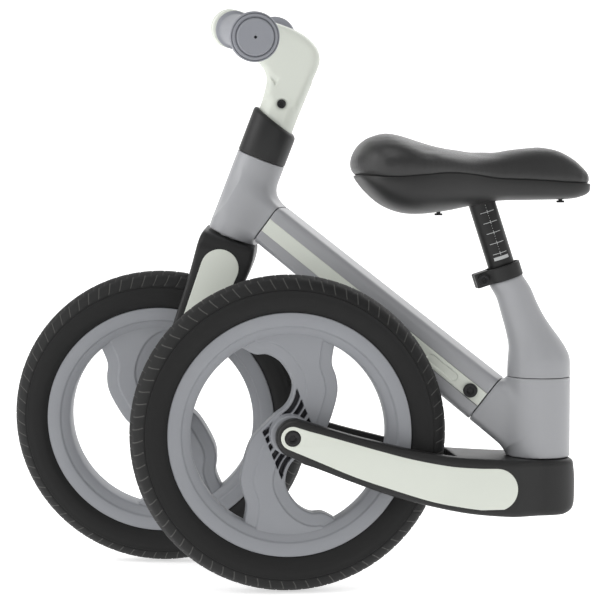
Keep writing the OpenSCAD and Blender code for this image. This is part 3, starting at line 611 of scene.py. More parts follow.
def rim_parts(where, step):
    """A wheel's moulding: the ring revolved about the axle, and the two S-shaped spokes cast with it."""
    points, faces = cast(spoke_distance, (-98, -24, -98), (98, 24, 98), step)
    # The slot floors get the shade attribute: they are painted near black, painted shade standing in for the slots'
    # depth.
    d = np.minimum(*(outline_distance(s * points[:, 0], s * points[:, 2], OPENING) for s in (1, -1)))
    face = ease((np.abs(points[:, 1]) - 3.0) / 1.0) * ease((11.3 - np.abs(points[:, 1])) / 0.8)
    dark = slot_shade(points[:, 0], points[:, 2], d) * face
    ring = on_y(revolved(ring_section(), 240, close=True))
    return [put((points, faces), where), put(ring, where)], [dark, None]


# ---- Castings ----
def tube_distance(x, y, z, grow=0.0):
    """The down tube's own solid, in its place: a rectangle with round corners whose depth falls along X."""
    depth = 24 - 3 * x / TUBE_LENGTH + grow
    return rounded_box_distance(y, z, 20 + grow, depth, 8)


def to_place(x, y, z, here, there):
    """The coordinates in one place of points given in another."""
    shift = (here[0] - there[0]) @ there[1].T
    turn = there[1] @ here[1].T
    return [turn[k, 0] * x + turn[k, 1] * y + turn[k, 2] * z + shift[k] for k in range(3)]


def head_distance(x, y, z):
    """The head tube and the short socket behind it, joined with a fillet of 16 mm and cut off at the seam."""
    r = np.hypot(x, y)
    post = common(r - HEAD_R, np.abs(z - (HEAD_LOW + HEAD_TOP) / 2) - (HEAD_TOP - HEAD_LOW) / 2, 1.2)
    a, b, c = to_place(x, y, z, HEAD, TUBE)
    socket = np.maximum(tube_distance(a, b, c), np.abs(a - TUBE_LENGTH - 17) - 22)
    both = join(post, socket, 16)
    both = common(both, np.abs(z - (HEAD_LOW + HEAD_TOP) / 2) - (HEAD_TOP - HEAD_LOW) / 2, 0.8)
    return common(common(both, TUBE_LENGTH + SEAM - a, 0.6), 17.5 - r, 0.3)


def hub_distance(x, y, z):
    """The upright hub and the socket for the down tube, joined with a fillet and cut off at the seam."""
    r = np.hypot(x, y)
    middle, half = (HUB_LOW + HUB_TOP) / 2, (HUB_TOP - HUB_LOW) / 2
    a, b, c = to_place(x, y, z, HUB, TUBE)
    socket = np.maximum(tube_distance(a, b, c), np.abs(a + 20) - 24)
    both = join(r - HUB_R, socket, 11)
    both = common(both, np.abs(z - middle) - half + 0.1, 1.0)
    return common(common(both, a + SEAM, 0.6), 13 - r, 0.4)


FORK_SIDE = np.vstack([
    smooth_line([(-27, HEAD_LOW - SEAM), (-28, 188), (-24.5, 150), (-22, 100), (-18, 50), (-15, 12)]),
    arc(15, 180, 360, 16)[1:-1],
    smooth_line([(15, 12), (18, 50), (23, 100), (28.5, 150), (30, 180), (27, HEAD_LOW - SEAM)])])
FORK_INLAY = np.vstack([arc(18.8, 0, 180, 20, (1.5, 170)), smooth_line([(-15.3, 115), (-12.9, 60), (-10.6, 12)], 3),
                        arc(11.3, 180, 360, 16)[2:-2], smooth_line([(10.6, 12), (12.9, 60), (17.3, 115)], 3)])


def fork_distance(x, y, z):
    """The fork: its side outline, with square round-cornered shoulders from the front, less the wheel's space."""
    side = outline_distance(x + 0 * z, z + 0 * x, FORK_SIDE)
    top = HEAD_LOW - SEAM
    front = rounded_box_distance(y, z - top + 140, BLADE_OUT, 140, 19)
    body = common(common(side, front, 5), z - top, 1.5)
    wheel = np.maximum(np.hypot(x, z) - 155, np.abs(y) - BLADE_IN)
    bolt = np.maximum(np.hypot(x, z) - 7.6, 36.2 - np.abs(y))
    return common(common(body, -wheel, 2.0), -np.minimum(bolt, np.hypot(x, z) - 5.1), 0.4)


ARM_TOP = smooth_line([(-33, 44), (-28, 52.2), (0, 53.0), (30, 53.8), (60, 55.5), (92, 58.3), (130, 65.5), (160, 73),
                       (190, 81), (225, 92), (236, 95.4)], 4)
ARM_LOW = smooth_line([(230, 53.0), (217, 48.5), (182, 34.5), (146, 21.5), (110, 11.5), (74, 4), (40, 0.5),
                       (20, 0)], 4)
REAR_SIDE = np.vstack([ARM_TOP, arc(18.2, 78, -78, 16, (238, 77.5)), ARM_LOW,
                       smooth_line([(-18, 0), (-29, 3), (-34.5, 11), (-35.5, 27), (-34.6, 38)], 4)])
ARM_INLAY = np.vstack([
    arc(19.9, 250, 92, 24, (49, 27)),
    smooth_line([(64, 47.2), (92, 49.6), (128, 56.6), (164, 66.4), (200, 77.1), (226, 84.6)], 4),
    arc(10.9, 106, -67, 20, (REACH, AXLE_Z)),
    smooth_line([(217, 55.8), (182, 40.8), (146, 28.2), (110, 16.8), (82, 11), (64, 8.2)], 4)])


def rear_fork_distance(x, y, z):
    """The rear fork: its side outline and its plan, with round edges, less the wheel's space and the hub's seat."""
    side = outline_distance(x + 0 * z, z + 0 * x, REAR_SIDE)
    wide = 35.5 + 6.5 * ease(x / 34)
    plan = np.where(x > 0, np.abs(y) - wide, np.hypot(np.minimum(x, 0), y) - 35.5)
    body = common(side, plan, 6)
    gap = common(84 - x, np.abs(y) - ARM_IN, 6)
    seat = np.minimum(np.maximum(HUB_LOW - SEAM - z, x - 12), np.maximum(HUB_LOW - 0.2 - z, np.hypot(x, y) - 32))
    body = common(common(body, -gap, 1.6), -seat, 1.0)
    r = np.hypot(x - REACH, z - AXLE_Z)
    bolt = np.maximum(r - 7.6, ARM_OUT - 3.8 - np.abs(y))
    foot = np.maximum(np.hypot(x, y) - 8.5, z - 8)
    return common(body, -np.minimum(np.minimum(bolt, r - 5.1), foot), 0.4)


STEM_SIDE = np.vstack([
    smooth_line([(17.5, 340), (19.3, 366), (20.4, 386), (18.4, 396), (12.0, 404), (0, 410), (-14, 412.4), (-34, 412.2),
                 (-58, 410.6)], 6),
    smooth_line([(-58, 376), (-50, 373.6), (-42, 371.9), (-34, 368.9), (-27.4, 364.5), (-22.8, 358), (-20.6, 350),
                 (-18.5, 340)], 6)])


def stem_distance(x, y, z):
    """The stem: an upright tube, a flat-sided elbow and the bar's cover, joined with fillets.

    A triangle is pressed into each side near the inner corner: level with the side along its upper edge, it falls
    away to a sharp crease along the edge that faces the corner.
    """
    r = np.hypot(x, y)
    post = np.maximum(r - 19.5, np.abs(z - 336) - 33)
    b = ((x + 25.7) * 12.9 + (z - 367.4) * 14.1) / 193.1
    c = -((x + 25.7) * 1.4 + (z - 367.4) * 16.5) / 193.1
    press = 2.2 * np.clip(c / 0.5, 0, 1) * np.clip(1 - b, 0, 1) * ease(b / 0.05) * ease((1 - b - c) / 0.12)
    elbow = common(outline_distance(x + 0 * z, z + 0 * x, STEM_SIDE), np.abs(y) - 18.2, 11)
    body = join(post, elbow, 4)
    halves = []
    for side in (-1, 1):
        a, b, c = to_place(x, y, z, STEER, bar_half(side))
        halves.append(np.maximum(np.hypot(a, b) - 18.9, np.maximum(c - 15.6, -c - 26)))
    body = join(body, np.minimum(*halves), 7)
    body = common(body, np.abs(y) - 17.9 + press, 0.6)
    screw = np.maximum(np.hypot(x, z - 341) - 4.9, 17.0 - np.abs(y))
    return common(common(body, -screw, 0.5), 302.4 - z, 0.6)


def clamp_distance(x, y, z):
    """The seat clamp, round Z: a band with a flat ear behind it, slit through."""
    r = np.hypot(x, y)
    ear = rounded_box_distance(x - 18, y, 11.2, 8.5, 2.2)
    band = common(join(r - 17.4, ear, 3), np.abs(z - 7) - 7, 1.0)
    band = common(band, 15.9 - r, 0.4)
    slit = np.maximum(np.abs(y) - 1.0, 10 - x)
    return common(band, -slit, 0.4)


# ---- Pieces made from sections ----
def down_tube_part():
    """The down tube: a round-cornered section with a shallow channel on each side, carried along X as it tapers.

    The section shrinks over its last millimetre at each end, which rounds the ends.
    """
    corner = arc(8, 0, 90, 10)
    q = np.array([(19.9, -8.3), (18.6, -8.15), (18.6, 8.15), (19.9, 8.3)])
    shape = np.vstack([q, corner + [12, 16], (corner[::-1] * [-1, 1]) + [-12, 16], -q, -corner - [12, 16],
                       (corner[::-1] * [1, -1]) + [12, -16]])
    x = np.concatenate([[SEAM, SEAM + 0.02, SEAM + 0.2, SEAM + 0.5, SEAM + 1.0], np.linspace(6, TUBE_LENGTH - 6, 24),
                        TUBE_LENGTH - SEAM - np.array([1.0, 0.5, 0.2, 0.02, 0])])
    inset = np.concatenate([[20, 0.9, 0.45, 0.15, 0], np.zeros(24), [0, 0.15, 0.45, 0.9, 20]])
    deep = (24 - 3 * x / TUBE_LENGTH) / 24
    y = shape[None, :, 0] * (1 - inset[:, None] / 20)
    z = shape[None, :, 1] * deep[:, None] * (1 - inset[:, None] / 20)
    points = np.stack([np.broadcast_to(x[:, None], y.shape), y, z], -1)
    return surface(points)


def strip_part(side):
    """A white strip in the tube's channel: a height over a grid, with round borders and an oblong pocket."""
    x = np.concatenate([np.linspace(0.7, 2.5, 6), np.linspace(3, 80, 220), np.linspace(82, TUBE_LENGTH - 3, 60),
                        np.linspace(TUBE_LENGTH - 2.5, TUBE_LENGTH - 0.7, 6)])
    z = np.concatenate([-7.55 + 1.2 * (1 - np.cos(np.linspace(0, np.pi / 2, 5))), np.linspace(-6.2, 6.2, 28),
                        7.55 - 1.2 * (1 - np.cos(np.linspace(np.pi / 2, 0, 5)))])
    gx, gz = np.meshgrid(x, z, indexing="ij")
    to_side = np.minimum(7.55 - np.abs(gz), np.minimum(gx - 0.7, TUBE_LENGTH - 0.7 - gx))
    top = 20.0 - 0.8 * (1 - np.sqrt(np.clip(1 - (1 - np.clip(to_side / 1.2, 0, 1)) ** 2, 0, 1)))
    pocket = np.hypot(np.maximum(np.abs(gx - 50) - 14, 0), gz)
    top = top - 1.1 * ease((4.2 - pocket) / 1.1 + 0.3)
    low = np.full_like(top, 18.7)
    up = np.stack([gx, side * top, gz], -1)
    down = np.stack([gx, side * low, gz], -1)[:, ::-1]
    return surface(np.concatenate([up, down], 1), close_columns=True), x, z


def closed_strip(side):
    """The strip with both ends filled, so that it is one closed shell."""
    (points, faces), x, z = strip_part(side)
    columns = 2 * len(z)
    n = len(z)
    for row in (0, len(x) - 1):
        at = row * columns
        for k in range(n - 1):
            faces.append([at + k, at + k + 1, at + columns - 2 - k, at + columns - 1 - k])
    return points, faces


def seat_tube_part():
    """The seat tube: circles that shrink, shift back and lean with the post, joined by a smooth line of stations."""
    stations = np.array([
        (0, 129.95, 29.2, 0), (0, 130.15, 29.75, 0), (0, 130.9, 30, 0), (0, 138, 29.9, 0), (0, 145, 29.7, 0.5),
        (0.6, 150.5, 28.8, 2), (2.4, 157, 26.7, 5), (5.6, 164.5, 24.0, 9), (9.9, 173, 21.4, 12.5),
        (14.6, 183, 19.3, 15.5), (19.6, 195, 17.9, 17.4), (25.0, 209.5, 16.9, 18), (31.6, 220.2, 16.5, 18)])
    line = smooth_line(stations, 5)
    neck = np.array([(32.3, 222.2, 16.3, 18), (32.5, 222.9, 15.8, 18), (32.55, 223.0, 14.6, 18),
                     (36.0, 233.6, 14.6, 18), (36.4, 234.6, 14.0, 18), (36.4, 234.6, 12.8, 18),
                      (24.0, 196.5, 12.8, 18)])
    line = np.vstack([[(0, 129.95, 0, 0)], line, neck, [(24.0, 196.5, 0, 18)]])
    a = np.linspace(0, 2 * np.pi, 96, endpoint=False)[None, :]
    x, z, r, lean = (line[:, k:k + 1] for k in range(4))
    lean = np.radians(lean)
    return surface(np.stack([x + r * np.cos(a) * np.cos(lean), r * np.sin(a), z - r * np.cos(a) * np.sin(lean)], -1))


def collar_part():
    """The collar: a circle's points carried up to a top that slopes back at 17 degrees, with round shoulders."""
    a = np.linspace(0, 2 * np.pi, 120, endpoint=False)[None, :]
    q = np.linspace(0, np.pi / 2, 7)
    edge = 4.0
    r = np.concatenate([[14.1, 23.7, 24.3, 24.5], 24.5 - edge + edge * np.cos(q), [20.1, 19.95, 19.8]])[:, None]
    drop = np.concatenate([[0, 0, 0, 0], edge - edge * np.sin(q), [0, 0.15, 8]])[:, None]
    base = HEAD_TOP + 0.35
    low = np.array([0, 0, 0.25, 0.8])[:, None] + base + 0 * a
    top = 322.3 - r * np.cos(a) * math.tan(math.radians(17)) - drop
    z = np.vstack([low, top[4:]])
    r = r + 0 * a
    x = r * np.cos(a)
    inner = np.stack([14.1 * np.cos(a[0]), 14.1 * np.sin(a[0]), 0 * a[0] + 308], -1)[None]
    return surface(np.concatenate([np.stack([x, r * np.sin(a), z], -1), inner], 0), close_rows=True)


def grip_part():
    """A grip: its profile revolved about the bar, from the inner collar along the body to the grooved end flange."""
    e = BAR_LENGTH
    c = 12.6
    profile = [(0, c), (17.6, c), (18.2, c + 0.3), (18.4, c + 0.9), (18.4, c + 4.6), (18.2, c + 5.3), (17.6, c + 5.8),
               (16.4, c + 6.6), (15.6, c + 8.4), (15.3, c + 11), (15.3, c + 30), (15.5, e - 60), (15.5, e - 22),
               (16.0, e - 17), (17.6, e - 13.9), (20.4, e - 12.6), (21.4, e - 12.3), (22.0, e - 11.8), (22.2, e - 11),
               (22.2, e - 5.2), (22.0, e - 4.3), (21.6, e - 3.7), (21.1, e - 3.6), (20.8, e - 3.9), (20.6, e - 4.6),
               (20.4, e - 4.6), (20.2, e - 3.0), (19.9, e - 2.5), (19.4, e - 2.3), (18.0, e - 2.3), (17.6, e - 2.6),
               (17.4, e - 3.4), (16.9, e - 3.6), (16.6, e - 3.2), (16.4, e - 1.0), (16.1, e - 0.4), (15.5, e),
               (1.5, e), (1.3, e - 0.3), (1.2, e - 8), (0, e - 8)]
    return revolved(profile, 96)


def post_part():
    """The seat post: a tube with a rounded lower edge, revolved."""
    return revolved([(0, 68.2), (12.0, 68.2), (12.5, 68.5), (12.7, 69.2), (12.7, 193.6), (12.3, 194), (0, 194)], 72)


def mark_parts():
    """The height scale: thin curved patches on the post, a dotted centre line with five cross ticks and a bar."""
    def patch(low, high, start, end):
        a = np.radians(np.linspace(start, end, 9))[None, :]
        z = np.array([low, low, high, high])[:, None]
        r = np.array([12.65, 12.76, 12.76, 12.65])[:, None] + 0 * a
        return surface(np.stack([r * np.cos(a), r * np.sin(a), z + 0 * a], -1), close_rows=True, close_columns=False)

    parts = []
    for k in range(5):
        z = 132.2 + 10.2 * k
        parts.append(patch(z, z + 0.5, 90 - 32, 90 + 32))
        parts += [patch(z - 1.6, z + 2.2, 89, 91)]
        parts += [patch(z + 3.9 + 2.4 * i, z + 4.7 + 2.4 * i, 89.2, 90.8) for i in range(2)]
    parts.append(patch(126.2, 129.4, 90 - 34, 90 + 34))
    return parts


# ---- Saddle ----
SADDLE_TOP = smooth_line([(-50, 314.5), (-49, 319), (-44, 326.5), (-33, 337), (-17, 346), (2, 349), (29, 346.5),
                          (48, 343.5), (75, 342.7), (102, 346), (121, 352), (139, 359), (152, 361), (166, 357),
                          (175, 349.5), (180.5, 338), (182, 326)])
SADDLE_SEAM = smooth_line([(-50, 313.6), (-27, 314.5), (10, 316.7), (48, 318), (75, 321.6), (99, 322.6), (120, 321),
                           (148, 318.8), (163, 319.6), (182, 322)])
SADDLE_LOW = smooth_line([(-49.5, 310), (-47.5, 306), (-41, 302), (-27, 299), (10, 298), (43, 297), (70, 292),
                          (93, 287.5), (117, 284.7), (135, 286.2), (152, 293.5), (166, 306), (176, 319)])
SADDLE_PLAN = smooth_line([(-50, 0), (-49, 7), (-44, 14.5), (-33, 21), (-10, 25), (25, 30), (60, 39), (90, 53),
                           (120, 65), (145, 67), (163, 59.5), (174, 45), (180, 28), (182, 10), (182.5, 0)])
SADDLE_SPINE = (-29.0, 130.0)


def saddle_part(upper, shrink=0.0, count=120):
    """The saddle's cover, or its shell: rings of the plan outline, drawn in towards a spine along X.

    A point of a ring is M + (O - M) s, where O is on the outline and M its nearest place on the spine. The cover's
    crown rises as (1 - s^n)^(1/n) from its widest height; its side curls in below, to the seam. The shell hangs
    from the seam by the same curve. Both fit together with a step inside the seam.
    """
    edge = even(np.vstack([SADDLE_PLAN, SADDLE_PLAN[-2:0:-1] * [1, -1]]), count)
    spine = np.stack([np.clip(edge[:, 0], *SADDLE_SPINE), 0 * edge[:, 0]], 1)
    arm = edge - spine
    reach = np.linalg.norm(arm, axis=1)

    def ring(inset, part=1.0):
        at = spine + arm * (part * (1 - inset / reach))[:, None]
        return at, ease((at[:, 0] - 60) / 90), np.interp(at[:, 0], *SADDLE_SEAM.T)

    def ends(x, inset, n):
        gone = np.maximum(SADDLE_SPINE[0] - x, x - SADDLE_SPINE[1])
        part = np.clip(gone / (np.where(x < 50, 21, 52.5) - inset), 0, 0.99)
        return (1 - part ** n) ** (1 / n)

    def plug(x):
        return 0.8 + 3 * ease((x + 49) / 12) * ease((172 - x) / 25)

    rows = []
    if upper:
        for s in np.sin(np.linspace(0, np.pi / 2, 26)):
            at, wide, seam = ring(shrink, s)
            rest = seam + 4 + 8.5 * wide
            rise = np.maximum(np.interp(at[:, 0], *SADDLE_TOP.T) - shrink - rest, 0) / ends(at[:, 0], shrink, 2.2)
            rows.append((at, rest + rise * (1 - s ** 2.2) ** (1 / 2.2)))
        for t in np.linspace(0.1, 1, 10) * np.pi / 2:
            at, wide, seam = ring(shrink + (1.5 + 3 * ring(shrink)[1]) * (1 - np.cos(t)))
            rows.append((at, seam + 0.3 + (3.7 + 8.5 * wide) * (1 - np.sin(t))))
        wide = ring(0)[1]
        for step, drop in ((2.6, 0), (2.6, 1), (6, 1)):
            at, _, seam = ring(1.5 + 3 * wide + step)
            rows.append((at, seam + 0.3 - drop * plug(at[:, 0])))
    else:
        wide = ring(0)[1]
        lip = 1.7 + 3 * wide
        for s in np.sin(np.linspace(0, np.pi / 2, 26)):
            at, _, seam = ring(lip, s)
            drop = np.maximum(seam - np.interp(at[:, 0], *SADDLE_LOW.T), 0)
            drop = drop / ends(at[:, 0], 1.7 + 3 * ease((at[:, 0] - 60) / 90), 2.5)
            rows.append((at, seam - 0.9 - np.maximum(drop - 0.9, 0) * (1 - s ** 2.5) ** (1 / 2.5)))
        for inset, down in ((0.1, 0.5), (0.4, 0.2), (0.9, 0), (2.2, 0), (2.3, 9), (6, 9)):
            at, _, seam = ring(lip + inset)
            rows.append((at, seam - (plug(at[:, 0]) if down == 9 else down)))
    rows.append((spine, np.interp(spine[:, 0], *SADDLE_SEAM.T) - plug(spine[:, 0])))
    return surface(np.stack([np.column_stack([at, z]) for at, z in rows]))


def inflated(made, sizes):
    """The cover blown up by cloth simulation: remeshed, pressed from inside, its moves capped, then smoothed.

    The points near the seam are pinned, so the cover stays on its shell.
    """
    scene = bpy.context.scene
    bpy.context.view_layer.objects.active = made
    made.select_set(True)
    remesh = made.modifiers.new("even", "REMESH")
    remesh.mode, remesh.voxel_size = "VOXEL", sizes.pad_voxel
    bpy.ops.object.modifier_apply(modifier=remesh.name)
    count = len(made.data.vertices)
    rest = np.empty(count * 3, np.float32)
    made.data.vertices.foreach_get("co", rest)
    rest = rest.reshape(-1, 3)
    local = (rest / MM - REAR[0]) @ REAR[1].T
    above = local[:, 2] - np.interp(local[:, 0], *SADDLE_SEAM.T)
    pins = made.vertex_groups.new(name="seam")
    pins.add(np.nonzero(above < 3.0)[0].tolist(), 1.0, "REPLACE")
    cloth = made.modifiers.new("cover", "CLOTH")
    cloth.settings.use_pressure = True
    cloth.settings.uniform_pressure_force = sizes.pad_pressure
    cloth.settings.effector_weights.gravity = 0
    cloth.settings.vertex_group_mass = pins.name
    cloth.settings.tension_stiffness = cloth.settings.compression_stiffness = 25
    cloth.point_cache.frame_start, cloth.point_cache.frame_end = 1, 20
    for step in range(1, 21):
        scene.frame_set(step)
    seen = made.evaluated_get(bpy.context.evaluated_depsgraph_get()).data
    blown = np.empty(count * 3, np.float32)
    seen.vertices.foreach_get("co", blown)
    push = blown.reshape(-1, 3) - rest
    far = np.linalg.norm(push, axis=1, keepdims=True)
    cap = sizes.pad_cap * np.clip((above[:, None] - 3.0) / 8, 0, 1)
    rest = rest + push * np.minimum(1, cap / np.maximum(far, 1e-9))
    made.modifiers.remove(cloth)
    scene.frame_set(1)
    made.data.vertices.foreach_set("co", rest.astype(np.float32).ravel())
    made.vertex_groups.clear()
    for kind, values in (("SMOOTH", {"factor": 0.5, "iterations": 6}), ("SUBSURF", {"levels": 1, "render_levels": 1})):
        last = made.modifiers.new(kind.lower(), kind)
        for key, value in values.items():
            setattr(last, key, value)
        bpy.ops.object.modifier_apply(modifier=last.name)
    made.select_set(False)
    made.data.update()
    return made


# ---- The add-on: settings, one operator for each piece or group of like pieces, and a panel ----
class BikeSizes(bpy.types.PropertyGroup):
    """Sizes that a user may change."""

    tread_blocks: bpy.props.IntProperty(
        name="Tread blocks", description="Blocks round each tyre", default=76, min=40, max=100)
    tread_groove: bpy.props.FloatProperty(
        name="Tread groove", description="Width of the grooves between the blocks, in millimetres",
        default=0.45, min=0.2, max=2)
    casting_step: bpy.props.FloatProperty(
        name="Casting step", description="Cell size that the castings are meshed at, in millimetres",
        default=1.15, min=0.6, max=3)
    spoke_step: bpy.props.FloatProperty(
        name="Spoke step", description="Cell size that the spokes are meshed at, in millimetres",
        default=0.95, min=0.6, max=3)
    pad_voxel: bpy.props.FloatProperty(
        name="Cover voxel", description="Voxel that the saddle's cover is remeshed at", default=0.004, unit="LENGTH")
    pad_pressure: bpy.props.FloatProperty(
        name="Cover pressure", description="Pressure inside the saddle's cover", default=4.0, min=0, max=20)
    pad_cap: bpy.props.FloatProperty(
        name="Cover swell", description="Furthest that a point of the cover may move", default=0.004, unit="LENGTH")


class BikeStage(bpy.types.PropertyGroup):
    """Lights that a user may change."""

    glow: bpy.props.FloatProperty(
        name="Backdrop light", description="Light that the lit backdrop gives off itself", default=0.6, min=0)
    key: bpy.props.FloatProperty(name="Key light", description="Light from above", default=16.0, unit="POWER")
    left: bpy.props.FloatProperty(
        name="Left light", description="Light from the front wheel's side", default=15.0, unit="POWER")
    right: bpy.props.FloatProperty(
        name="Right light", description="Light from the saddle's side", default=3.5, unit="POWER")
    back: bpy.props.FloatProperty(
        name="Back light", description="Light from behind and above", default=8.0, unit="POWER")
    around: bpy.props.FloatProperty(name="Room light", description="Even light from all round", default=0.42, min=0)


class Adder:
    """What the operators share."""

    bl_options = {"REGISTER", "UNDO"}

    def execute(self, context):
        self.add(context.scene.bike_sizes)
        return {"FINISHED"}


class BIKE_OT_stage(Adder, bpy.types.Operator):
    """Add the pale floor, the soft lights and the camera"""

    bl_idname = "bike.add_stage"
    bl_label = "Stage"

    def add(self, sizes):
        scene = bpy.context.scene
        stage = scene.bike_stage
        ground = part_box("rear_tyre")[0].z
        world = bpy.data.worlds.new("soft room")
        world.use_nodes = True
        back = world.node_tree.nodes["Background"]
        back.inputs["Color"].default_value = (1, 1, 1, 1)
        back.inputs["Strength"].default_value = stage.around
        scene.world = world
        t = np.linspace(0, np.pi / 2, 25)
        far, bend = 3.0, 1.2
        y = np.concatenate([[-4.0], far - bend + bend * np.sin(t), [far]])
        z = np.concatenate([[0.0], bend - bend * np.cos(t), [5.0]]) + ground
        x = np.array([-6.0, 6.0])
        sweep = np.stack([np.broadcast_to(x, (len(y), 2)), np.broadcast_to(y[:, None], (len(y), 2)),
                          np.broadcast_to(z[:, None], (len(y), 2))], -1)
        mesh = bpy.data.meshes.new("floor")
        mesh.from_pydata(sweep.reshape(-1, 3).tolist(), [], grid_faces(len(y), 2).tolist())
        mesh.shade_smooth()
        floor = bpy.data.objects.new("floor", mesh)
        scene.collection.objects.link(floor)
        paper = finish("backdrop paper, pale", "#f4f4f4", "#f2f2f2", (0.8, 0.9), 2.0, 0.01,
                       Emission_Color=(1, 1, 1, 1), Emission_Strength=stage.glow)
        mesh.materials.append(paper)
        for name, spot, aim, power, size in (
            ("key", (-0.5, -1.3, 2.2), (-0.15, 0, 0.15), stage.key, 1.6),
            ("left", (-2.0, -0.9, 0.9), (-0.15, 0, 0.15), stage.left, 1.4),
            ("right", (1.7, -0.3, 0.9), (-0.15, 0, 0.15), stage.right, 1.4),
            ("back", (0.2, 1.8, 1.7), (-0.15, 0, 0.15), stage.back, 1.6),
        ):
            lamp = bpy.data.lights.new(name, "AREA")
            lamp.energy, lamp.size = power, size
            light = bpy.data.objects.new(name, lamp)
            light.location = spot
            look = np.array(aim) - np.array(spot)
            flat = math.hypot(look[0], look[1])
            light.rotation_euler = (math.atan2(flat, -look[2]), 0, math.atan2(-look[0], look[1]))
            scene.collection.objects.link(light)
        lens = bpy.data.cameras.new("camera")
        lens.lens, lens.sensor_width = 103.67, 36.0
        camera = bpy.data.objects.new("camera", lens)
        camera.location = (0.23517, -1.65006, 0.28902)
        camera.rotation_euler = (math.radians(87), 0, math.radians(16))
        scene.collection.objects.link(camera)
        scene.camera = camera
        scene.view_settings.view_transform = "Standard"


class BIKE_OT_tyres(Adder, bpy.types.Operator):
    """Add the two tyres with their tread"""

    bl_idname = "bike.add_tyres"
    bl_label = "Tyres"

    def add(self, sizes):
        for end, where, body in (("front", FRONT_WHEEL, "front_wheel"), ("rear", REAR_WHEEL, "rear_wheel")):
            parts, marks = tyre_parts(where, sizes.tread_blocks, sizes.tread_groove)
            piece(f"{end}_tyre_treaded", parts, body, "tyre_rubber", [f"{end}_tyre"], 40, marks)


class BIKE_OT_rims(Adder, bpy.types.Operator):
    """Add the two rims with their S-shaped spokes"""

    bl_idname = "bike.add_rims"
    bl_label = "Rims"

    def add(self, sizes):
        for end, where, body in (("front", FRONT_WHEEL, "front_wheel"), ("rear", REAR_WHEEL, "rear_wheel")):
            parts, marks = rim_parts(where, sizes.spoke_step * (1))
            piece(f"{end}_rim_moulding", parts, body, "rim_plastic", [f"{end}_rim"], 40, marks)


class BIKE_OT_castings(Adder, bpy.types.Operator):
    """Add the head tube, the hub, the fork, the rear fork and the stem"""

    bl_idname = "bike.add_castings"
    bl_label = "Castings"

    def add(self, sizes):
        step = sizes.casting_step * 1
        for name, distance, where, low, high, body, slot in (
            ("head_tube", head_distance, HEAD, (-27, -27, 196), (62, 27, 287), "frame", "grey_enamel"),
            ("hub", hub_distance, HUB, (-72, -33, 50), (33, 33, 134), "frame", "grey_enamel"),
            ("fork", fork_distance, STEER, (-31, -43, -18), (33, 43, 203), "steering", "black_casting"),
            ("rear_fork", rear_fork_distance, REAR, (-38, -45, -3), (259, 45, 99), "rear", "black_casting"),
            ("stem", stem_distance, STEER, (-95, -48, 300), (24, 48, 416), "steering", "white_plastic"),
        ):
            part = put(cast(distance, low, high, step), where)
            piece(f"{name}_casting", [part], body, slot, [name], 50)


class BIKE_OT_down_tube(Adder, bpy.types.Operator):
    """Add the down tube and its two white strips"""

    bl_idname = "bike.add_down_tube"
    bl_label = "Down tube"

    def add(self, sizes):
        piece("down_tube_profile", [put(down_tube_part(), TUBE)], "frame", "grey_enamel", ["down_tube"])
        for name, side in (("left", 1), ("right", -1)):
            strip = put(closed_strip(side), TUBE)
            piece(f"tube_strip_{name}", [strip], "frame", "white_plastic", [f"tube_inlay_{name}"])


class BIKE_OT_inlays(Adder, bpy.types.Operator):
    """Add the white inlays of the fork and of the rear fork"""

    bl_idname = "bike.add_inlays"
    bl_label = "Inlays"

    def add(self, sizes):
        for name, outline, where, body, out, bolt in (
            ("fork_inlay", FORK_INLAY, STEER, "steering", BLADE_OUT, (0, 0)),
            ("arm_inlay", ARM_INLAY, REAR, "rear", ARM_OUT, (REACH, AXLE_Z)),
        ):
            for side, half in (("left", -1), ("right", 1)):
                hole = arc(7.6, 0, 360, 40, bolt)[:-1]
                points, faces = slab(outline, out - 1.2, out + 0.35, 0.5, hole)
                part = put((points * [1, half, 1], faces), where)
                piece(f"{name}_plate_{side}", [part], body, "white_plastic", [f"{name}_{side}"])


class BIKE_OT_seat_tube(Adder, bpy.types.Operator):
    """Add the seat tube, its clamp, and the seat post with its height scale"""

    bl_idname = "bike.add_seat_tube"
    bl_label = "Seat tube and post"

    def add(self, sizes):
        piece("seat_tube_casting", [put(seat_tube_part(), REAR)], "rear", "grey_enamel", ["seat_tube"])
        band = cast(clamp_distance, (-20, -20, -2), (32, 20, 16), 0.6 * (1))
        piece("seat_clamp_band", [put(band, moved(POST, (0, 0, 106)))], "rear", "black_steel", ["seat_clamp"], 50,
              look="black_casting")
        post = post_part()
        marks = [put(p, POST) for p in mark_parts()]
        piece("seat_post_tube", [put(post, POST)], "seat", "post_enamel", ["seat_post"])
        piece("seat_height_scale", marks, "seat", "post_enamel",
              marks=[np.ones(len(p[0])) for p in marks])


class BIKE_OT_steering(Adder, bpy.types.Operator):
    """Add the collar and the two grips"""

    bl_idname = "bike.add_steering"
    bl_label = "Collar and grips"

    def add(self, sizes):
        piece("steering_collar", [put(collar_part(), STEER)], "steering", "black_casting", ["collar"])
        for name, side in (("left", -1), ("right", 1)):
            grip = put(grip_part(), bar_half(side))
            piece(f"grip_sleeve_{name}", [grip], "steering", "grip_rubber", [f"grip_{name}"])


class BIKE_OT_saddle(Adder, bpy.types.Operator):
    """Add the saddle's padded cover and its shell"""

    bl_idname = "bike.add_saddle"
    bl_label = "Saddle"

    def add(self, sizes):
        shell = put(saddle_part(False), REAR)
        piece("saddle_shell", [shell], "seat", "base_plastic", ["saddle_base"])
        cover = put(saddle_part(True, 0.8), REAR)
        made = piece("saddle_cover", [cover], "seat", "saddle_leather", ["saddle_pad"])
        inflated(made, sizes)
        made.data.shade_smooth()


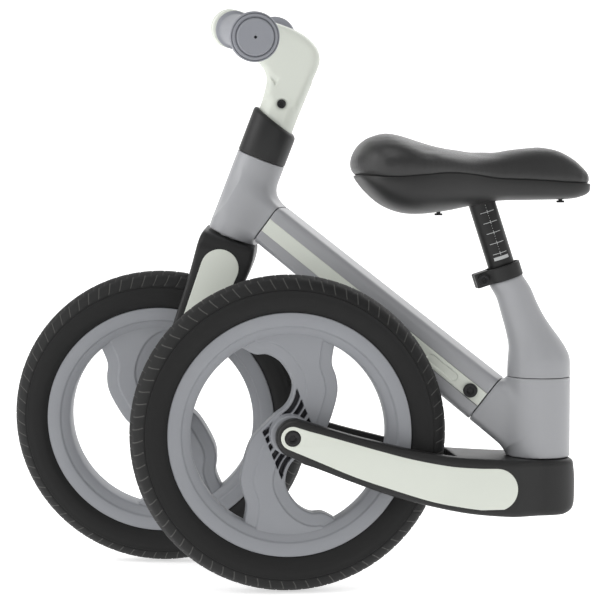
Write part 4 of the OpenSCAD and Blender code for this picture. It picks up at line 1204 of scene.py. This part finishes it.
class BIKE_OT_screws(Adder, bpy.types.Operator):
    """Add the socket screws that show"""

    bl_idname = "bike.add_screws"
    bl_label = "Screws"

    def add(self, sizes):
        for name, where, out, size, body in (
            ("front_axle_bolts", STEER, BLADE_OUT - 3.5, (7.2, 4, 3.3, 2.6, 2.98, 13), "steering"),
            ("rear_axle_bolts", REAR_WHEEL, ARM_OUT - 3.5, (7.2, 4, 3.3, 2.6, 2.98, 13), "rear"),
            ("stem_screws", moved(STEER, (0, 0, 341)), 16.6, (4.3, 3, 2.1, 1.8, 2.5, 5), "steering"),
            ("tube_bolts", moved(TUBE, (15, 0, 0)), 20.02, (6.8, 3.4, 3.1, 2.2, 3, 15), "frame"),
        ):
            parts = [put(socket_head(*size), moved(facing(where, s), (0, 0, out))) for s in (-1, 1)]
            piece(f"{name}_blacked", parts, body, "black_steel", [name])
        clamp = facing(moved(POST, (22, 8.5, 113)), 1)
        bolt = put(socket_head(5, 3, 2.4, 1.8, 2.5, 21), clamp)
        piece("clamp_bolt_blacked", [bolt], "rear", "black_steel", ["clamp_bolt"])


class BIKE_OT_inner_parts(Adder, bpy.types.Operator):
    """Give every CAD piece that stays in view the finish of its slot"""

    bl_idname = "bike.finish_inner_parts"
    bl_label = "Inner parts"

    def add(self, sizes):
        slots = {entry["node"]: entry["material_slot"] for entry in frame["record"]["subparts"]}
        slots["saddle_screws"] = "black_steel"
        for name, node in frame["nodes"].items():
            if not node.hide_render:
                node.data.materials.clear()
                node.data.materials.append(material(slots[name]))


class BIKE_PT_panel(bpy.types.Panel):
    """The list of pieces in the 3D view's sidebar"""

    bl_label = "Balance bike"
    bl_idname = "BIKE_PT_panel"
    bl_space_type = "VIEW_3D"
    bl_region_type = "UI"
    bl_category = "Bike"

    def draw(self, context):
        for group in (context.scene.bike_sizes, context.scene.bike_stage):
            for name in group.__annotations__:
                self.layout.prop(group, name)
        for kind in PIECES:
            self.layout.operator(kind.bl_idname)


PIECES = (BIKE_OT_stage, BIKE_OT_tyres, BIKE_OT_rims, BIKE_OT_castings, BIKE_OT_down_tube, BIKE_OT_inlays,
          BIKE_OT_seat_tube, BIKE_OT_steering, BIKE_OT_saddle, BIKE_OT_screws, BIKE_OT_inner_parts)
CLASSES = (BikeSizes, BikeStage, *PIECES, BIKE_PT_panel)


def register():
    """Registers the classes and the scene's settings."""
    for kind in CLASSES:
        bpy.utils.register_class(kind)
    bpy.types.Scene.bike_sizes = bpy.props.PointerProperty(type=BikeSizes)
    bpy.types.Scene.bike_stage = bpy.props.PointerProperty(type=BikeStage)


def unregister():
    """Undoes register."""
    del bpy.types.Scene.bike_sizes, bpy.types.Scene.bike_stage
    for kind in reversed(CLASSES):
        bpy.utils.unregister_class(kind)


def main():
    """Adds every piece in order."""
    register()
    for kind in PIECES:
        group, name = kind.bl_idname.split(".")
        getattr(getattr(bpy.ops, group), name)()


if __name__ == "__main__":
    main()
